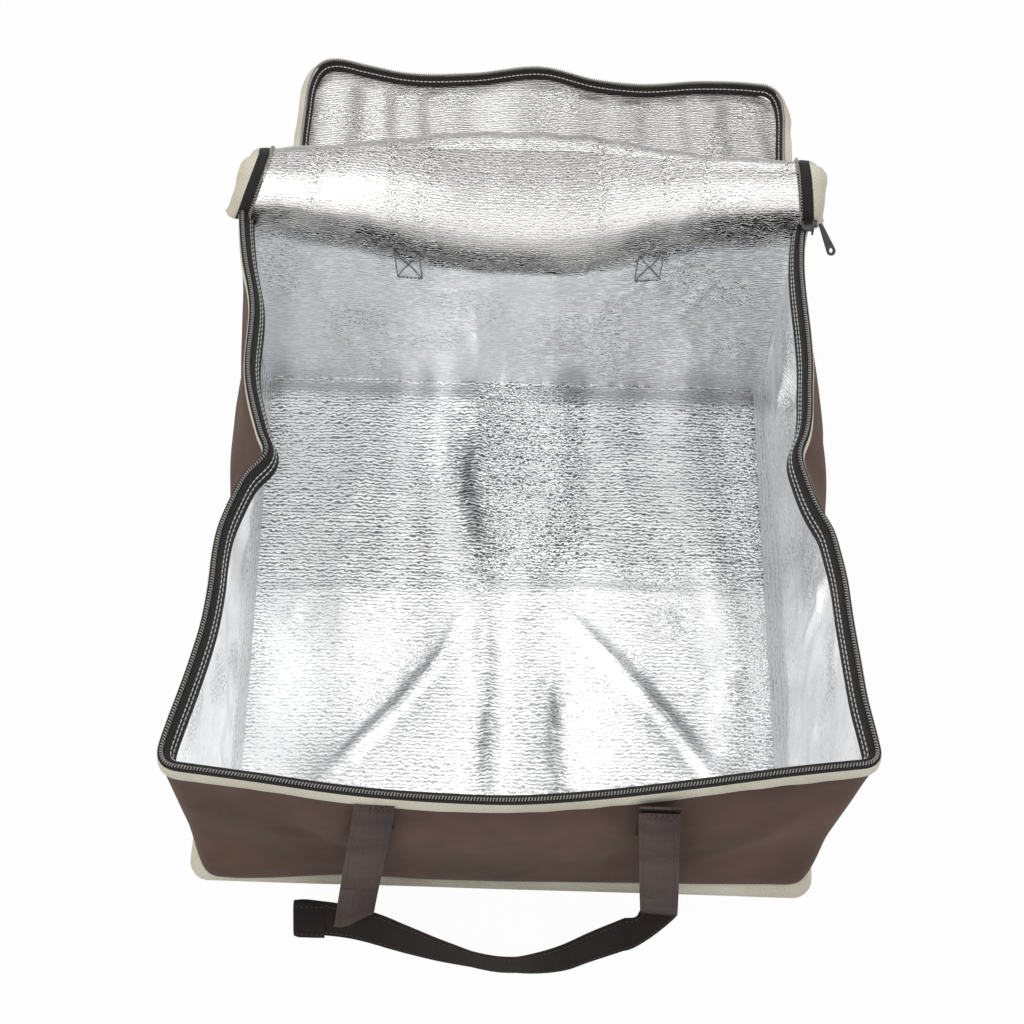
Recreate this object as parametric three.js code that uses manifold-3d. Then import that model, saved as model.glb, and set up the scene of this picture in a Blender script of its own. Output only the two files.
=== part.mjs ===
// Soft insulated carrier bag, standing open with its lid thrown back over the rear wall.
// Millimetres, +Z up, +Y towards the hinged lid, origin on the floor under the middle of the base.
//
// Every wall is three layers: outer cloth, foam core and foil lining. The lid is the same three
// layers, cut where it bends, so that it can fold over the rear wall and lie back on the floor.
import * as THREE from 'three';
import { mergeVertices } from 'three/addons/utils/BufferGeometryUtils.js';
import Module from 'manifold-3d';

const wasm = await Module();
wasm.setup();

// Overall size
const BASE_WIDTH = 420;
const BASE_DEPTH = 430;
const RIM_HEIGHT = 200;

// Layers of a wall, from the outside in
const CLOTH = 0.8;
const FOAM = 3.0;
const LINING = 0.5;
const LAYER_GAP = 0.3;

// Welt round the base
const WELT_HEIGHT = 18;
const WELT_INSET = 8.2;
const WELT_THICKNESS = 0.9;
const WELT_BELLY_HEIGHT = 7;
const WELT_FOOT_INSET = 1.2;

// Binding, zip tape and coil along the rim and the lid's edge
const BINDING_HEIGHT = 12;
const BINDING_THICKNESS = 0.8;
const TAPE_THICKNESS = 0.5;
const COIL_GAP = 0.4;
const COIL_HEIGHT = 3.6;
const COIL_WIDTH = 4.5;

// Leans and bulges of the standing walls, measured at the rim. A lean is the distance of a rim
// corner inside the outline of the base, and is negative where the wall leans out.
const LEFT_BACK_LEAN = 14;
const LEFT_FRONT_LEAN = 7;
const RIGHT_BACK_LEAN = 6;
const RIGHT_FRONT_LEAN = -17;
const FRONT_LEFT_LEAN = 1;
const FRONT_RIGHT_LEAN = 8;
const BACK_LEAN = 3;
const FRONT_RIM_BULGE = 16;
const FRONT_RIM_DIP = 12;
const FRONT_BELLY = 9;
const LEFT_PINCH = 38;
const RIGHT_PINCH = 22;
const FOLD_Y = 12;
const FOLD_SHARPNESS = 0.7;
const FOLD_RISE = 1.6;
const KNEE_Y = 44;
const KNEE_DEPTH = 0.65;
const RIGHT_BELLY = 17;
const LEFT_BELLY = 5;

// Lid: a short upright strip of the rear wall, then the panel, which bends in three places
const LID_STRIP_HEIGHT = 22;
const LID_LENGTH = 430;
const LID_CREST_LENGTH = 33;
const LID_CREST_ANGLE = 5;
const LID_SLOPE_ANGLE = -62;
const LID_FAR_LEFT_INSET = 11;
const LID_FAR_RIGHT_INSET = -12;
const LID_SKIRT = 10;
const CREST_SKIRT = 3.5;
const CREST_SKIRT_START = 14;
const HINGE_SETBACK = 4;
const FOLD_CLEARANCE = 2.9;
const MITRE_CLEARANCE = 0.6;

// Carrying straps
const STRAP_WIDTH = 25;
const STRAP_THICKNESS = 1.6;
const STRAP_TAB_LENGTH = 38;
const STRAP_TOP_DROP = 0.6;
const STRAP_FOOT_HEIGHT = 3;
const FRONT_STRAP_TOPS = [-73.5, 97];
const FRONT_STRAP_FEET = [-98, 108];
const REAR_STRAP_TOPS = [-78, 93];
const REAR_STRAP_FEET = [-90, 102];
const FRONT_STRAP_LEAN = 11;
const REAR_STRAP_LEAN = 7;
const FRONT_GRIP_REACH = 32;
const REAR_GRIP_REACH = 30;
const GRIP_HEIGHT = 22;
const STITCH_WIDTH = 18;
const STITCH_LENGTH = 38;
const STITCH_LINE = 1.6;
const STITCH_THICKNESS = 0.4;
const STITCH_DROP = 9;

// Zip slider and its pull
const SLIDER_FROM_BACK = 12;
const SLIDER_LENGTH = 12;
const SLIDER_PLATE = 1.2;
const SLIDER_TOP = 7.6;
const SLIDER_GAP = 0.4;
const SLIDER_WEB_HEIGHT = 1.4;
const BAIL_REACH = 2.2;
const BAIL_LENGTH = 4;
const BAIL_HEIGHT = 3;
const PULL_LENGTH = 24;
const PULL_WIDTH = 6.5;
const PULL_ROOT_WIDTH = 2.4;
const PULL_THICKNESS = 1.3;
const PULL_HOLE = 1.7;
const PULL_HOLE_SHIFT = 0.4;
const PULL_AZIMUTH = -56;
const PULL_DROOP = -41;
const STOP_LENGTH = 6;

// Grids
const FRONT_STEPS = 12;
const REAR_STEPS = 4;
const SIDE_SHARES = [
  0, 0.08, 0.18, 0.28, 0.38, 0.46, (FOLD_Y / BASE_DEPTH) + 0.5, (KNEE_Y / BASE_DEPTH) + 0.5, 0.8, 1,
];
const WALL_LEVELS = [0, 0.25, 0.5, 0.75];
const MITRE_GAP = 0.25;
const ARC_STEPS = 10;
const CORNER_STEPS = 3;
const NOSE_STEPS = 6;
const EYE_STEPS = 6;
const WELD_DISTANCE = 1e-4;

const lerp = THREE.MathUtils.lerp;
const rad = THREE.MathUtils.degToRad;
const steps = (count) => Array.from({ length: count + 1 }, (_, index) => index / count);

const FOAM_OUT = CLOTH + LAYER_GAP;
const FOAM_IN = FOAM_OUT + FOAM;
const LINING_OUT = FOAM_IN + LAYER_GAP;
const LINING_IN = LINING_OUT + LINING;
const TAPE_OUT = LINING_IN + LAYER_GAP;
const TAPE_IN = TAPE_OUT + TAPE_THICKNESS;
const COIL_IN = LINING_IN;
const COIL_OUT = COIL_IN - COIL_WIDTH;
const WELT_CORNER = WELT_INSET + WELT_THICKNESS + LAYER_GAP;
const FOOT_X = BASE_WIDTH / 2 - WELT_INSET;
const FOOT_Y = BASE_DEPTH / 2 - WELT_INSET;
const WALL_FOOT = WELT_HEIGHT + LAYER_GAP;
const HINGE_Z = RIM_HEIGHT + LID_STRIP_HEIGHT;
const RIM_LEFT_BACK = LEFT_BACK_LEAN - BASE_WIDTH / 2;
const RIM_LEFT_FRONT = LEFT_FRONT_LEAN - BASE_WIDTH / 2;
const RIM_RIGHT_BACK = BASE_WIDTH / 2 - RIGHT_BACK_LEAN;
const RIM_RIGHT_FRONT = BASE_WIDTH / 2 - RIGHT_FRONT_LEAN;
const RIM_FRONT_LEFT_Y = FRONT_LEFT_LEAN - BASE_DEPTH / 2;
const RIM_FRONT_RIGHT_Y = FRONT_RIGHT_LEAN - BASE_DEPTH / 2;
const RIM_BACK_Y = BASE_DEPTH / 2 - BACK_LEAN;
const LID_FAR_LEFT = LID_FAR_LEFT_INSET - BASE_WIDTH / 2;
const LID_FAR_RIGHT = BASE_WIDTH / 2 - LID_FAR_RIGHT_INSET;
const HINGE_Y = RIM_BACK_Y + HINGE_SETBACK;
const SLIDER_Y = RIM_BACK_Y - SLIDER_FROM_BACK;

// Materials
const outerCloth = () => new THREE.MeshStandardMaterial({ color: 0x584b43, roughness: 0.92, metalness: 0 });
const creamCloth = () => new THREE.MeshStandardMaterial({ color: 0xd2cdba, roughness: 0.9, metalness: 0 });
const strapCloth = () => new THREE.MeshStandardMaterial({ color: 0x4d4341, roughness: 0.9, metalness: 0 });
const foamSheet = () => new THREE.MeshStandardMaterial({ color: 0xf2f2ee, roughness: 0.8, metalness: 0 });
const foilSheet = () => new THREE.MeshStandardMaterial({ color: 0xc9cbcd, roughness: 0.28, metalness: 1 });
const stitchThread = () => new THREE.MeshStandardMaterial({ color: 0x4a4644, roughness: 0.8, metalness: 0 });
const zipTape = () => new THREE.MeshStandardMaterial({ color: 0x1d1c1b, roughness: 0.85, metalness: 0 });
const zipCoil = () => new THREE.MeshStandardMaterial({ color: 0x2a2a28, roughness: 0.5, metalness: 0 });
const zipMetal = () => new THREE.MeshStandardMaterial({ color: 0x2e2e2e, roughness: 0.45, metalness: 0.6 });

// The geometry with one vertex at each place.
function welded(geometry) {
  const plain = geometry.clone();
  plain.deleteAttribute('uv');
  plain.deleteAttribute('normal');
  return mergeVertices(plain, WELD_DISTANCE);
}

// A named mesh whose faces point out.
function solid(name, geometry, material) {
  const merged = welded(geometry);
  const position = merged.getAttribute('position');
  const index = merged.getIndex().array;
  const a = new THREE.Vector3();
  const b = new THREE.Vector3();
  const c = new THREE.Vector3();
  let volume = 0;
  for (let i = 0; i < index.length; i += 3) {
    a.fromBufferAttribute(position, index[i]);
    b.fromBufferAttribute(position, index[i + 1]);
    c.fromBufferAttribute(position, index[i + 2]);
    volume += a.dot(b.cross(c));
  }
  if (volume < 0) {
    for (let i = 0; i < index.length; i += 3) {
      [index[i + 1], index[i + 2]] = [index[i + 2], index[i + 1]];
    }
  }
  merged.computeVertexNormals();
  const mesh = new THREE.Mesh(merged, material);
  mesh.name = name;
  return mesh;
}

// Closed body from sections, each the same number of points round one loop.
function sweep(sections, closed = false) {
  const count = sections[0].length;
  const vertices = sections.flat().flatMap((point) => [point.x, point.y, point.z]);
  const faces = [];
  const rows = closed ? sections.length : sections.length - 1;
  for (let row = 0; row < rows; row += 1) {
    const next = (row + 1) % sections.length;
    for (let k = 0; k < count; k += 1) {
      const m = (k + 1) % count;
      faces.push(row * count + k, row * count + m, next * count + m);
      faces.push(row * count + k, next * count + m, next * count + k);
    }
  }
  if (!closed) {
    const last = (sections.length - 1) * count;
    for (let k = 1; k < count - 1; k += 1) {
      faces.push(0, k + 1, k);
      faces.push(last, last + k, last + k + 1);
    }
  }
  const geometry = new THREE.BufferGeometry();
  geometry.setAttribute('position', new THREE.Float32BufferAttribute(vertices, 3));
  geometry.setIndex(faces);
  return geometry;
}

// Closed panel from two matching grids of points, one for each face.
function panel(outer, inner) {
  const rows = outer.length;
  const columns = outer[0].length;
  const vertices = [...outer.flat(), ...inner.flat()].flatMap((point) => [point.x, point.y, point.z]);
  const at = (side, row, column) => side * rows * columns + row * columns + column;
  const faces = [];
  const quad = (p, q, r, s) => faces.push(p, q, r, p, r, s);
  for (let row = 0; row < rows - 1; row += 1) {
    for (let column = 0; column < columns - 1; column += 1) {
      quad(at(0, row, column), at(0, row, column + 1), at(0, row + 1, column + 1), at(0, row + 1, column));
      quad(at(1, row, column), at(1, row + 1, column), at(1, row + 1, column + 1), at(1, row, column + 1));
    }
  }
  for (let column = 0; column < columns - 1; column += 1) {
    quad(at(0, 0, column), at(1, 0, column), at(1, 0, column + 1), at(0, 0, column + 1));
    const top = rows - 1;
    quad(at(0, top, column), at(0, top, column + 1), at(1, top, column + 1), at(1, top, column));
  }
  for (let row = 0; row < rows - 1; row += 1) {
    quad(at(0, row, 0), at(0, row + 1, 0), at(1, row + 1, 0), at(1, row, 0));
    const end = columns - 1;
    quad(at(0, row, end), at(1, row, end), at(1, row + 1, end), at(0, row + 1, end));
  }
  const geometry = new THREE.BufferGeometry();
  geometry.setAttribute('position', new THREE.Float32BufferAttribute(vertices, 3));
  geometry.setIndex(faces);
  return geometry;
}

// A block between two corners.
function block(low, high) {
  const size = [high[0] - low[0], high[1] - low[1], high[2] - low[2]];
  const geometry = new THREE.BoxGeometry(...size);
  return geometry.translate(low[0] + size[0] / 2, low[1] + size[1] / 2, low[2] + size[2] / 2);
}

// Joins closed geometries into one.
function joined(geometries) {
  const solids = geometries.map((geometry) => {
    const merged = welded(geometry);
    return new wasm.Manifold(new wasm.Mesh({
      numProp: 3,
      vertProperties: new Float32Array(merged.getAttribute('position').array),
      triVerts: new Uint32Array(merged.getIndex().array),
    }));
  });
  const mesh = solids.reduce((sum, next) => sum.add(next)).getMesh();
  const geometry = new THREE.BufferGeometry();
  geometry.setAttribute('position', new THREE.Float32BufferAttribute(mesh.vertProperties, 3));
  geometry.setIndex(Array.from(mesh.triVerts));
  return geometry;
}

// Height of the rim along the front wall: it sags in the middle.
const frontRimZ = (u) => RIM_HEIGHT - FRONT_RIM_DIP * Math.sin(Math.PI * u) ** 2;

// Corner of the standing walls at a share of the height: left or right, front or back.
function corner(side, end, h) {
  const rimX = side < 0
    ? (end < 0 ? RIM_LEFT_FRONT : RIM_LEFT_BACK)
    : (end < 0 ? RIM_RIGHT_FRONT : RIM_RIGHT_BACK);
  const rimY = end > 0 ? RIM_BACK_Y : (side < 0 ? RIM_FRONT_LEFT_Y : RIM_FRONT_RIGHT_Y);
  return { x: lerp(side * FOOT_X, rimX, h), y: lerp(end * FOOT_Y, rimY, h) };
}

// The walls follow each other round the bag: left, front, right, rear. A wall's share u runs the
// same way, and h is the share of the height from its foot to its rim.
const frontWall = {
  inward: new THREE.Vector3(0, 1, 0),
  along: new THREE.Vector3(1, 0, 0),
  rim: frontRimZ,
  point(u, h) {
    const left = corner(-1, -1, h);
    const right = corner(1, -1, h);
    const swell = FRONT_RIM_BULGE * h + FRONT_BELLY * Math.sin(Math.PI * h);
    return { x: lerp(left.x, right.x, u), y: lerp(left.y, right.y, u) - swell * Math.sin(Math.PI * u) };
  },
  stations: steps(FRONT_STEPS),
};

const rearWall = {
  inward: new THREE.Vector3(0, -1, 0),
  along: new THREE.Vector3(-1, 0, 0),
  rim: () => RIM_HEIGHT,
  point(u, h) {
    const left = corner(-1, 1, h);
    const right = corner(1, 1, h);
    return { x: lerp(right.x, left.x, u), y: lerp(right.y, left.y, u) };
  },
  stations: steps(REAR_STEPS),
};

// A side wall folds inwards at the middle of its depth, most at the rim. From the knee to the rear
// corner the rim runs straight, so that the slider can pass.
const depthShare = (y) => (y + BASE_DEPTH / 2) / BASE_DEPTH;
const FOLD_SHARE = depthShare(FOLD_Y);
const KNEE_SHARE = depthShare(KNEE_Y);
function foldShape(v) {
  if (v < FOLD_SHARE) {
    return 1 - Math.cos((Math.PI / 2) * (v / FOLD_SHARE)) ** FOLD_SHARPNESS;
  }
  if (v < KNEE_SHARE) {
    return lerp(1, KNEE_DEPTH, (v - FOLD_SHARE) / (KNEE_SHARE - FOLD_SHARE));
  }
  return KNEE_DEPTH * ((1 - v) / (1 - KNEE_SHARE));
}

function sideWall(side, pinch, belly) {
  const shareOf = (u) => (side < 0 ? 1 - u : u);
  const stations = SIDE_SHARES.map(shareOf);
  return {
    inward: new THREE.Vector3(-side, 0, 0),
    along: new THREE.Vector3(0, side, 0),
    rim: () => RIM_HEIGHT,
    shareOf,
    point(u, h) {
      const v = shareOf(u);
      const front = corner(side, -1, h);
      const back = corner(side, 1, h);
      const swell = belly * Math.sin(Math.PI * h) * Math.sin(Math.PI * v);
      const fold = pinch * h ** FOLD_RISE * foldShape(v);
      return { x: lerp(front.x, back.x, v) + side * (swell - fold), y: lerp(front.y, back.y, v) };
    },
    stations: side < 0 ? stations.reverse() : stations,
  };
}
const leftWall = sideWall(-1, LEFT_PINCH, LEFT_BELLY);
const rightWall = sideWall(1, RIGHT_PINCH, RIGHT_BELLY);

// Point of a wall at a depth below its outer face.
function wallPoint(wall, index, z, depth) {
  const u = wall.stations[index];
  const top = wall.rim(u);
  const h = THREE.MathUtils.clamp((z - WALL_FOOT) / (top - WALL_FOOT), 0, 1);
  const flat = wall.point(u, h);
  return new THREE.Vector3(flat.x, flat.y, z).addScaledVector(wall.inward, depth);
}

// Heights of a wall's rows above its foot, for a rim at a height.
const rowHeights = (top) => [
  ...WALL_LEVELS.map((level) => lerp(WALL_FOOT, top, level)), top - BINDING_HEIGHT, top,
];

// Rows of points of a wall's layer, from its foot to its rim. Below the outer cloth it is plumb.
// The ends are mitred, so that four walls meet at the corners.
function wallGrid(wall, depth, foot, extraTop) {
  const last = wall.stations.length - 1;
  const row = (heightAt) => wall.stations.map((u, index) => {
    const point = wallPoint(wall, index, heightAt(wall.rim(u)), depth);
    if (index === 0) {
      point.addScaledVector(wall.along, depth + MITRE_GAP);
    }
    if (index === last) {
      point.addScaledVector(wall.along, -depth - MITRE_GAP);
    }
    return point;
  });
  const rows = rowHeights(0).map((_, level) => row((top) => rowHeights(top)[level]));
  if (foot < WALL_FOOT) {
    rows.unshift(row(() => foot));
  }
  if (extraTop > 0) {
    const top = row((rim) => rim + extraTop);
    top.forEach((point) => {
      point.y = lerp(RIM_BACK_Y, HINGE_Y + LID_HALF, extraTop / LID_STRIP_HEIGHT) - depth;
    });
    rows.push(top);
  }
  return rows;
}

// The lid's middle surface runs through the hinge line, half a wall each side of it.
const LID_HALF = LINING_IN / 2;

const bag = new THREE.Group();

// Layers of the four walls
const walls = { front: frontWall, rear: rearWall, left: leftWall, right: rightWall };
const layers = [
  { prefix: 'outer', from: 0, to: CLOTH, foot: WALL_FOOT, material: outerCloth },
  { prefix: 'foam', from: FOAM_OUT, to: FOAM_IN, foot: FOAM_OUT + FOAM + LAYER_GAP, material: foamSheet },
  { prefix: 'lining', from: LINING_OUT, to: LINING_IN, foot: LINING_IN + LAYER_GAP, material: foilSheet },
];
const HINGE_END = { outer: FOLD_CLEARANCE, foam: FOAM / 2 + LAYER_GAP, lining: FOLD_CLEARANCE };
for (const layer of layers) {
  for (const [place, wall] of Object.entries(walls)) {
    const extraTop = place === 'rear' ? LID_STRIP_HEIGHT - HINGE_END[layer.prefix] : 0;
    const outer = wallGrid(wall, layer.from, layer.foot, extraTop);
    const inner = wallGrid(wall, layer.to, layer.foot, extraTop);
    bag.add(solid(`${layer.prefix}_${place}_wall`, panel(outer, inner), layer.material()));
  }
}

// Loop of the base's outline with rounded corners, at an inset and a height.
function roundedLoop(inset, z) {
  const radius = WELT_CORNER - inset;
  const cx = BASE_WIDTH / 2 - WELT_CORNER;
  const cy = BASE_DEPTH / 2 - WELT_CORNER;
  const centres = [[cx, cy], [-cx, cy], [-cx, -cy], [cx, -cy]];
  return centres.flatMap(([x, y], quarter) => steps(CORNER_STEPS).map((share) => {
    const angle = (Math.PI / 2) * (quarter + share);
    return new THREE.Vector3(x + radius * Math.cos(angle), y + radius * Math.sin(angle), z);
  }));
}

// Layers of the base
const clothInset = WELT_FOOT_INSET + WELT_THICKNESS + LAYER_GAP;
bag.add(solid('outer_base', sweep([roundedLoop(clothInset, 0), roundedLoop(clothInset, CLOTH)]), outerCloth()));
for (const [name, low, high, material] of [
  ['foam_base', FOAM_OUT, FOAM_IN, foamSheet],
  ['lining_base', LINING_OUT, LINING_IN, foilSheet],
]) {
  bag.add(solid(name, block([low - FOOT_X, low - FOOT_Y, low], [FOOT_X - low, FOOT_Y - low, high]), material()));
}

// Welt: a rolled strip round the base, widest a little above the floor.
const weltProfile = [
  [WELT_FOOT_INSET, 0],
  [0, WELT_BELLY_HEIGHT],
  [WELT_INSET, WELT_HEIGHT],
  [WELT_INSET + WELT_THICKNESS, WELT_HEIGHT],
  [WELT_THICKNESS, WELT_BELLY_HEIGHT],
  [WELT_FOOT_INSET + WELT_THICKNESS, 0],
];
bag.add(solid('base_welt', sweep(weltProfile.map(([inset, z]) => roundedLoop(inset, z)), true), creamCloth()));

// A strip that follows the left, front and right walls at the rim.
const rimWalls = [leftWall, frontWall, rightWall];
function rimStrip(depthOut, depthIn, offsets, leftTrim, rightTrim) {
  const grid = (depth) => offsets.map((offset) => {
    const row = rimWalls.flatMap((wall, order) => wall.stations.slice(order === 0 ? 0 : 1).map((u, k) => {
      const index = order === 0 ? k : k + 1;
      const point = wallPoint(wall, index, wall.rim(u) + offset, depth);
      if (order < 2 && index === wall.stations.length - 1) {
        point.addScaledVector(rimWalls[order + 1].inward, depth);
      }
      return point;
    }));
    row[0].y -= leftTrim;
    row[row.length - 1].y -= rightTrim;
    return row;
  });
  return panel(grid(depthOut), grid(depthIn));
}
const bindingOut = -LAYER_GAP - BINDING_THICKNESS;
const coilBase = COIL_GAP;
const coilTop = coilBase + COIL_HEIGHT;
const zipTrim = LINING_IN + LAYER_GAP;
const coilTrim = zipTrim + STOP_LENGTH + LAYER_GAP;
bag.add(solid('rim_binding', rimStrip(bindingOut, -LAYER_GAP, [-BINDING_HEIGHT, 0], 0, 0), creamCloth()));
bag.add(solid(
  'rim_zip_tape',
  rimStrip(TAPE_OUT, TAPE_IN, [-BINDING_HEIGHT, 0, coilTop], zipTrim, zipTrim),
  zipTape(),
));
bag.add(solid('rim_zip_coil', rimStrip(COIL_OUT, COIL_IN, [coilBase, coilTop], coilTrim, zipTrim), zipCoil()));

// Lid
const lidPanelEdge = (side, s) => (side < 0
  ? lerp(RIM_LEFT_BACK, LID_FAR_LEFT, s / LID_LENGTH)
  : lerp(RIM_RIGHT_BACK, LID_FAR_RIGHT, s / LID_LENGTH));
const crestRise = LID_CREST_LENGTH * Math.sin(rad(LID_CREST_ANGLE));
const slopeLength = (HINGE_Z + crestRise - LID_HALF) / Math.sin(rad(-LID_SLOPE_ANGLE));
const endLength = LID_LENGTH - LID_CREST_LENGTH - slopeLength;

// One flat slab of the lid from side to side, between two distances along it.
function lidSlab(offset, from, to, low, high, nose) {
  const half = (high - low) / 2;
  const middle = (high + low) / 2;
  const profile = nose
    ? [...steps(NOSE_STEPS).map((share) => {
      const angle = rad(90 + 180 * share);
      return [from + half * Math.cos(angle), middle + half * Math.sin(angle)];
    }), [to, low], [to, high]]
    : [[from, high], [from, low], [to, low], [to, high]];
  const side = (sign) => profile.map(([s, n]) => (
    new THREE.Vector3(lidPanelEdge(sign, offset + s), s, n)
  ));
  return sweep([side(-1), side(1)]);
}

// Levels of a strip that stands on the lid. Above the lid's middle surface its ends are mitred.
const stripLevels = (strip) => (strip.low < 0 ? [strip.low, 0, strip.high] : [strip.low, strip.high]);

// Upright strip along one side of a lid piece.
function lidEdgeStrip(piece, side, from, strip) {
  const row = (depth, n) => {
    const far = piece.length - FOLD_CLEARANCE - Math.max(n, 0) * piece.endMitre;
    return [from, far].map((y) => (
      new THREE.Vector3(lidPanelEdge(side, piece.offset + y) - side * depth, y, n)
    ));
  };
  const levels = stripLevels(strip);
  return panel(levels.map((n) => row(strip.out, n)), levels.map((n) => row(strip.in, n)));
}

// Strip that follows the left, far and right edges of the lid's end piece.
function lidEndStrip(piece, from, strip) {
  const row = (depth, n) => {
    const near = from + Math.max(n, 0) * piece.startMitre;
    const far = piece.length - depth;
    return [[-1, near], [-1, far], [1, far], [1, near]].map(([side, y]) => (
      new THREE.Vector3(lidPanelEdge(side, piece.offset + y) - side * depth, y, n)
    ));
  };
  const levels = stripLevels(strip);
  return panel(levels.map((n) => row(strip.out, n)), levels.map((n) => row(strip.in, n)));
}

const lidLayers = [
  { prefix: 'outer', low: -LID_HALF, high: CLOTH - LID_HALF, material: outerCloth, ends: FOLD_CLEARANCE },
  { prefix: 'foam', low: -FOAM / 2, high: FOAM / 2, material: foamSheet, ends: FOAM / 2 + LAYER_GAP },
  { prefix: 'lining', low: LID_HALF - LINING, high: LID_HALF, material: foilSheet, ends: FOLD_CLEARANCE },
];
const skirtStrips = (skirt) => [
  { name: 'binding', out: bindingOut, in: -LAYER_GAP, low: -LID_HALF, high: skirt, material: creamCloth },
  {
    name: 'zip_tape',
    out: TAPE_OUT,
    in: TAPE_IN,
    low: LID_HALF + LAYER_GAP,
    high: skirt + coilTop,
    material: zipTape,
  },
  {
    name: 'zip_coil',
    out: COIL_OUT,
    in: COIL_IN,
    low: skirt + coilBase,
    high: skirt + coilTop,
    material: zipCoil,
  },
];

const bendMitre = Math.tan(rad(-LID_SLOPE_ANGLE / 2));
const lidPieces = [
  {
    name: 'lid_crest',
    offset: 0,
    length: LID_CREST_LENGTH,
    turn: LID_CREST_ANGLE,
    skirt: CREST_SKIRT,
    skirtFrom: CREST_SKIRT_START,
    startMitre: 0,
    endMitre: 0,
  },
  {
    name: 'lid_slope',
    offset: LID_CREST_LENGTH,
    length: slopeLength,
    turn: LID_SLOPE_ANGLE - LID_CREST_ANGLE,
    skirt: LID_SKIRT,
    skirtFrom: FOLD_CLEARANCE,
    startMitre: 0,
    endMitre: bendMitre,
  },
  {
    name: 'lid_end',
    offset: LID_CREST_LENGTH + slopeLength,
    length: endLength,
    turn: -LID_SLOPE_ANGLE,
    skirt: LID_SKIRT,
    skirtFrom: FOLD_CLEARANCE,
    startMitre: bendMitre,
    endMitre: 0,
  },
];

let carrier = bag;
let carrierLength = null;
for (const piece of lidPieces) {
  const isEnd = piece.name === 'lid_end';
  const group = new THREE.Group();
  if (carrierLength === null) {
    group.position.set(0, HINGE_Y, HINGE_Z);
  } else {
    group.position.set(0, carrierLength, 0);
  }
  group.rotation.x = rad(piece.turn);
  carrier.add(group);
  for (const layer of lidLayers) {
    const nose = layer.prefix === 'foam';
    const from = nose ? 0 : layer.ends;
    const to = isEnd ? piece.length : piece.length - layer.ends;
    group.add(solid(
      `${piece.name}_${layer.prefix}`,
      lidSlab(piece.offset, from, to, layer.low, layer.high, nose),
      layer.material(),
    ));
  }
  for (const strip of skirtStrips(piece.skirt)) {
    const from = piece.skirtFrom + (piece.startMitre > 0 ? MITRE_CLEARANCE : 0);
    if (isEnd) {
      group.add(solid(`${piece.name}_${strip.name}`, lidEndStrip(piece, from, strip), strip.material()));
    } else {
      for (const [side, word] of [[-1, 'left'], [1, 'right']]) {
        const geometry = lidEdgeStrip(piece, side, from, strip);
        group.add(solid(`${piece.name}_${strip.name}_${word}`, geometry, strip.material()));
      }
    }
  }
  carrier = group;
  carrierLength = piece.length;
}

// Depth coordinate of a front or rear wall's outer face at a place on it, as its flat facets run.
function faceY(wall, x, z) {
  const corners = [wall.point(0, 1).x, wall.point(1, 1).x];
  const heights = rowHeights(wall.rim((x - corners[0]) / (corners[1] - corners[0])));
  const low = heights.findLastIndex((height, index) => index < heights.length - 1 && height <= z);
  const rowY = (height) => {
    const h = (height - WALL_FOOT) / (heights[heights.length - 1] - WALL_FOOT);
    const row = wall.stations.map((u) => wall.point(u, h));
    const near = row.findIndex((point, index) => (
      index < row.length - 1 && (point.x - x) * (row[index + 1].x - x) <= 0
    ));
    const [a, b] = [row[near], row[near + 1]];
    return THREE.MathUtils.mapLinear(x, a.x, b.x, a.y, b.y);
  };
  const [below, above] = [heights[low], heights[low + 1]];
  return THREE.MathUtils.mapLinear(z, below, above, rowY(below), rowY(above));
}

// Stitching that holds a strap's end, seen on the lining: a box with a cross in it.
function crossStitch(wall, x, topZ) {
  const w = STITCH_WIDTH / 2;
  const l = STITCH_LENGTH / 2;
  const t = STITCH_LINE;
  const slope = l / w;
  const outline = (points) => points.map(([px, py]) => new THREE.Vector2(px, py));
  const box = new THREE.Shape(outline([[-w, -l], [w, -l], [w, l], [-w, l]]));
  const reach = t * Math.hypot(1, slope) / 2;
  for (const sign of [-1, 1]) {
    const wideX = w - t - reach / slope;
    const tallY = l - t - reach;
    const wide = [[-wideX, sign * (l - t)], [wideX, sign * (l - t)], [0, sign * reach]];
    const tall = [[sign * (w - t), -tallY], [sign * (w - t), tallY], [sign * reach / slope, 0]];
    for (const hole of [wide, tall]) {
      box.holes.push(new THREE.Path(outline(hole)));
    }
  }
  const geometry = new THREE.ExtrudeGeometry(box, { depth: STITCH_THICKNESS, bevelEnabled: false });
  const position = geometry.getAttribute('position');
  for (let i = 0; i < position.count; i += 1) {
    const px = x + position.getX(i);
    const pz = topZ - l + position.getY(i);
    const depth = LINING_IN + LAYER_GAP + position.getZ(i);
    position.setXYZ(i, px, faceY(wall, px, pz) + wall.inward.y * depth, pz);
  }
  return geometry;
}

// Carrying straps. Each has two sewn ends on the wall, two legs that hang from them and a grip
// that stands on its edge on the floor.
function strapTab(x, topY, lowY, topZ, facing) {
  const half = STRAP_WIDTH / 2;
  const rows = [[lowY, topZ - STRAP_TAB_LENGTH], [topY, topZ]];
  const face = (depth) => rows.map(([y, z]) => [-half, half].map((dx) => (
    new THREE.Vector3(x + dx, y + facing * depth, z)
  )));
  return panel(face(0), face(STRAP_THICKNESS));
}

function strapLeg(topX, footX, topY, footY, topZ) {
  const half = STRAP_WIDTH / 2;
  const thick = STRAP_THICKNESS / 2;
  const rows = [[footX, footY, STRAP_FOOT_HEIGHT], [topX, topY, topZ]];
  const face = (shift) => rows.map(([x, y, z]) => [-half, half].map((dx) => (
    new THREE.Vector3(x + dx, y + shift, z)
  )));
  return panel(face(-thick), face(thick));
}

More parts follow.
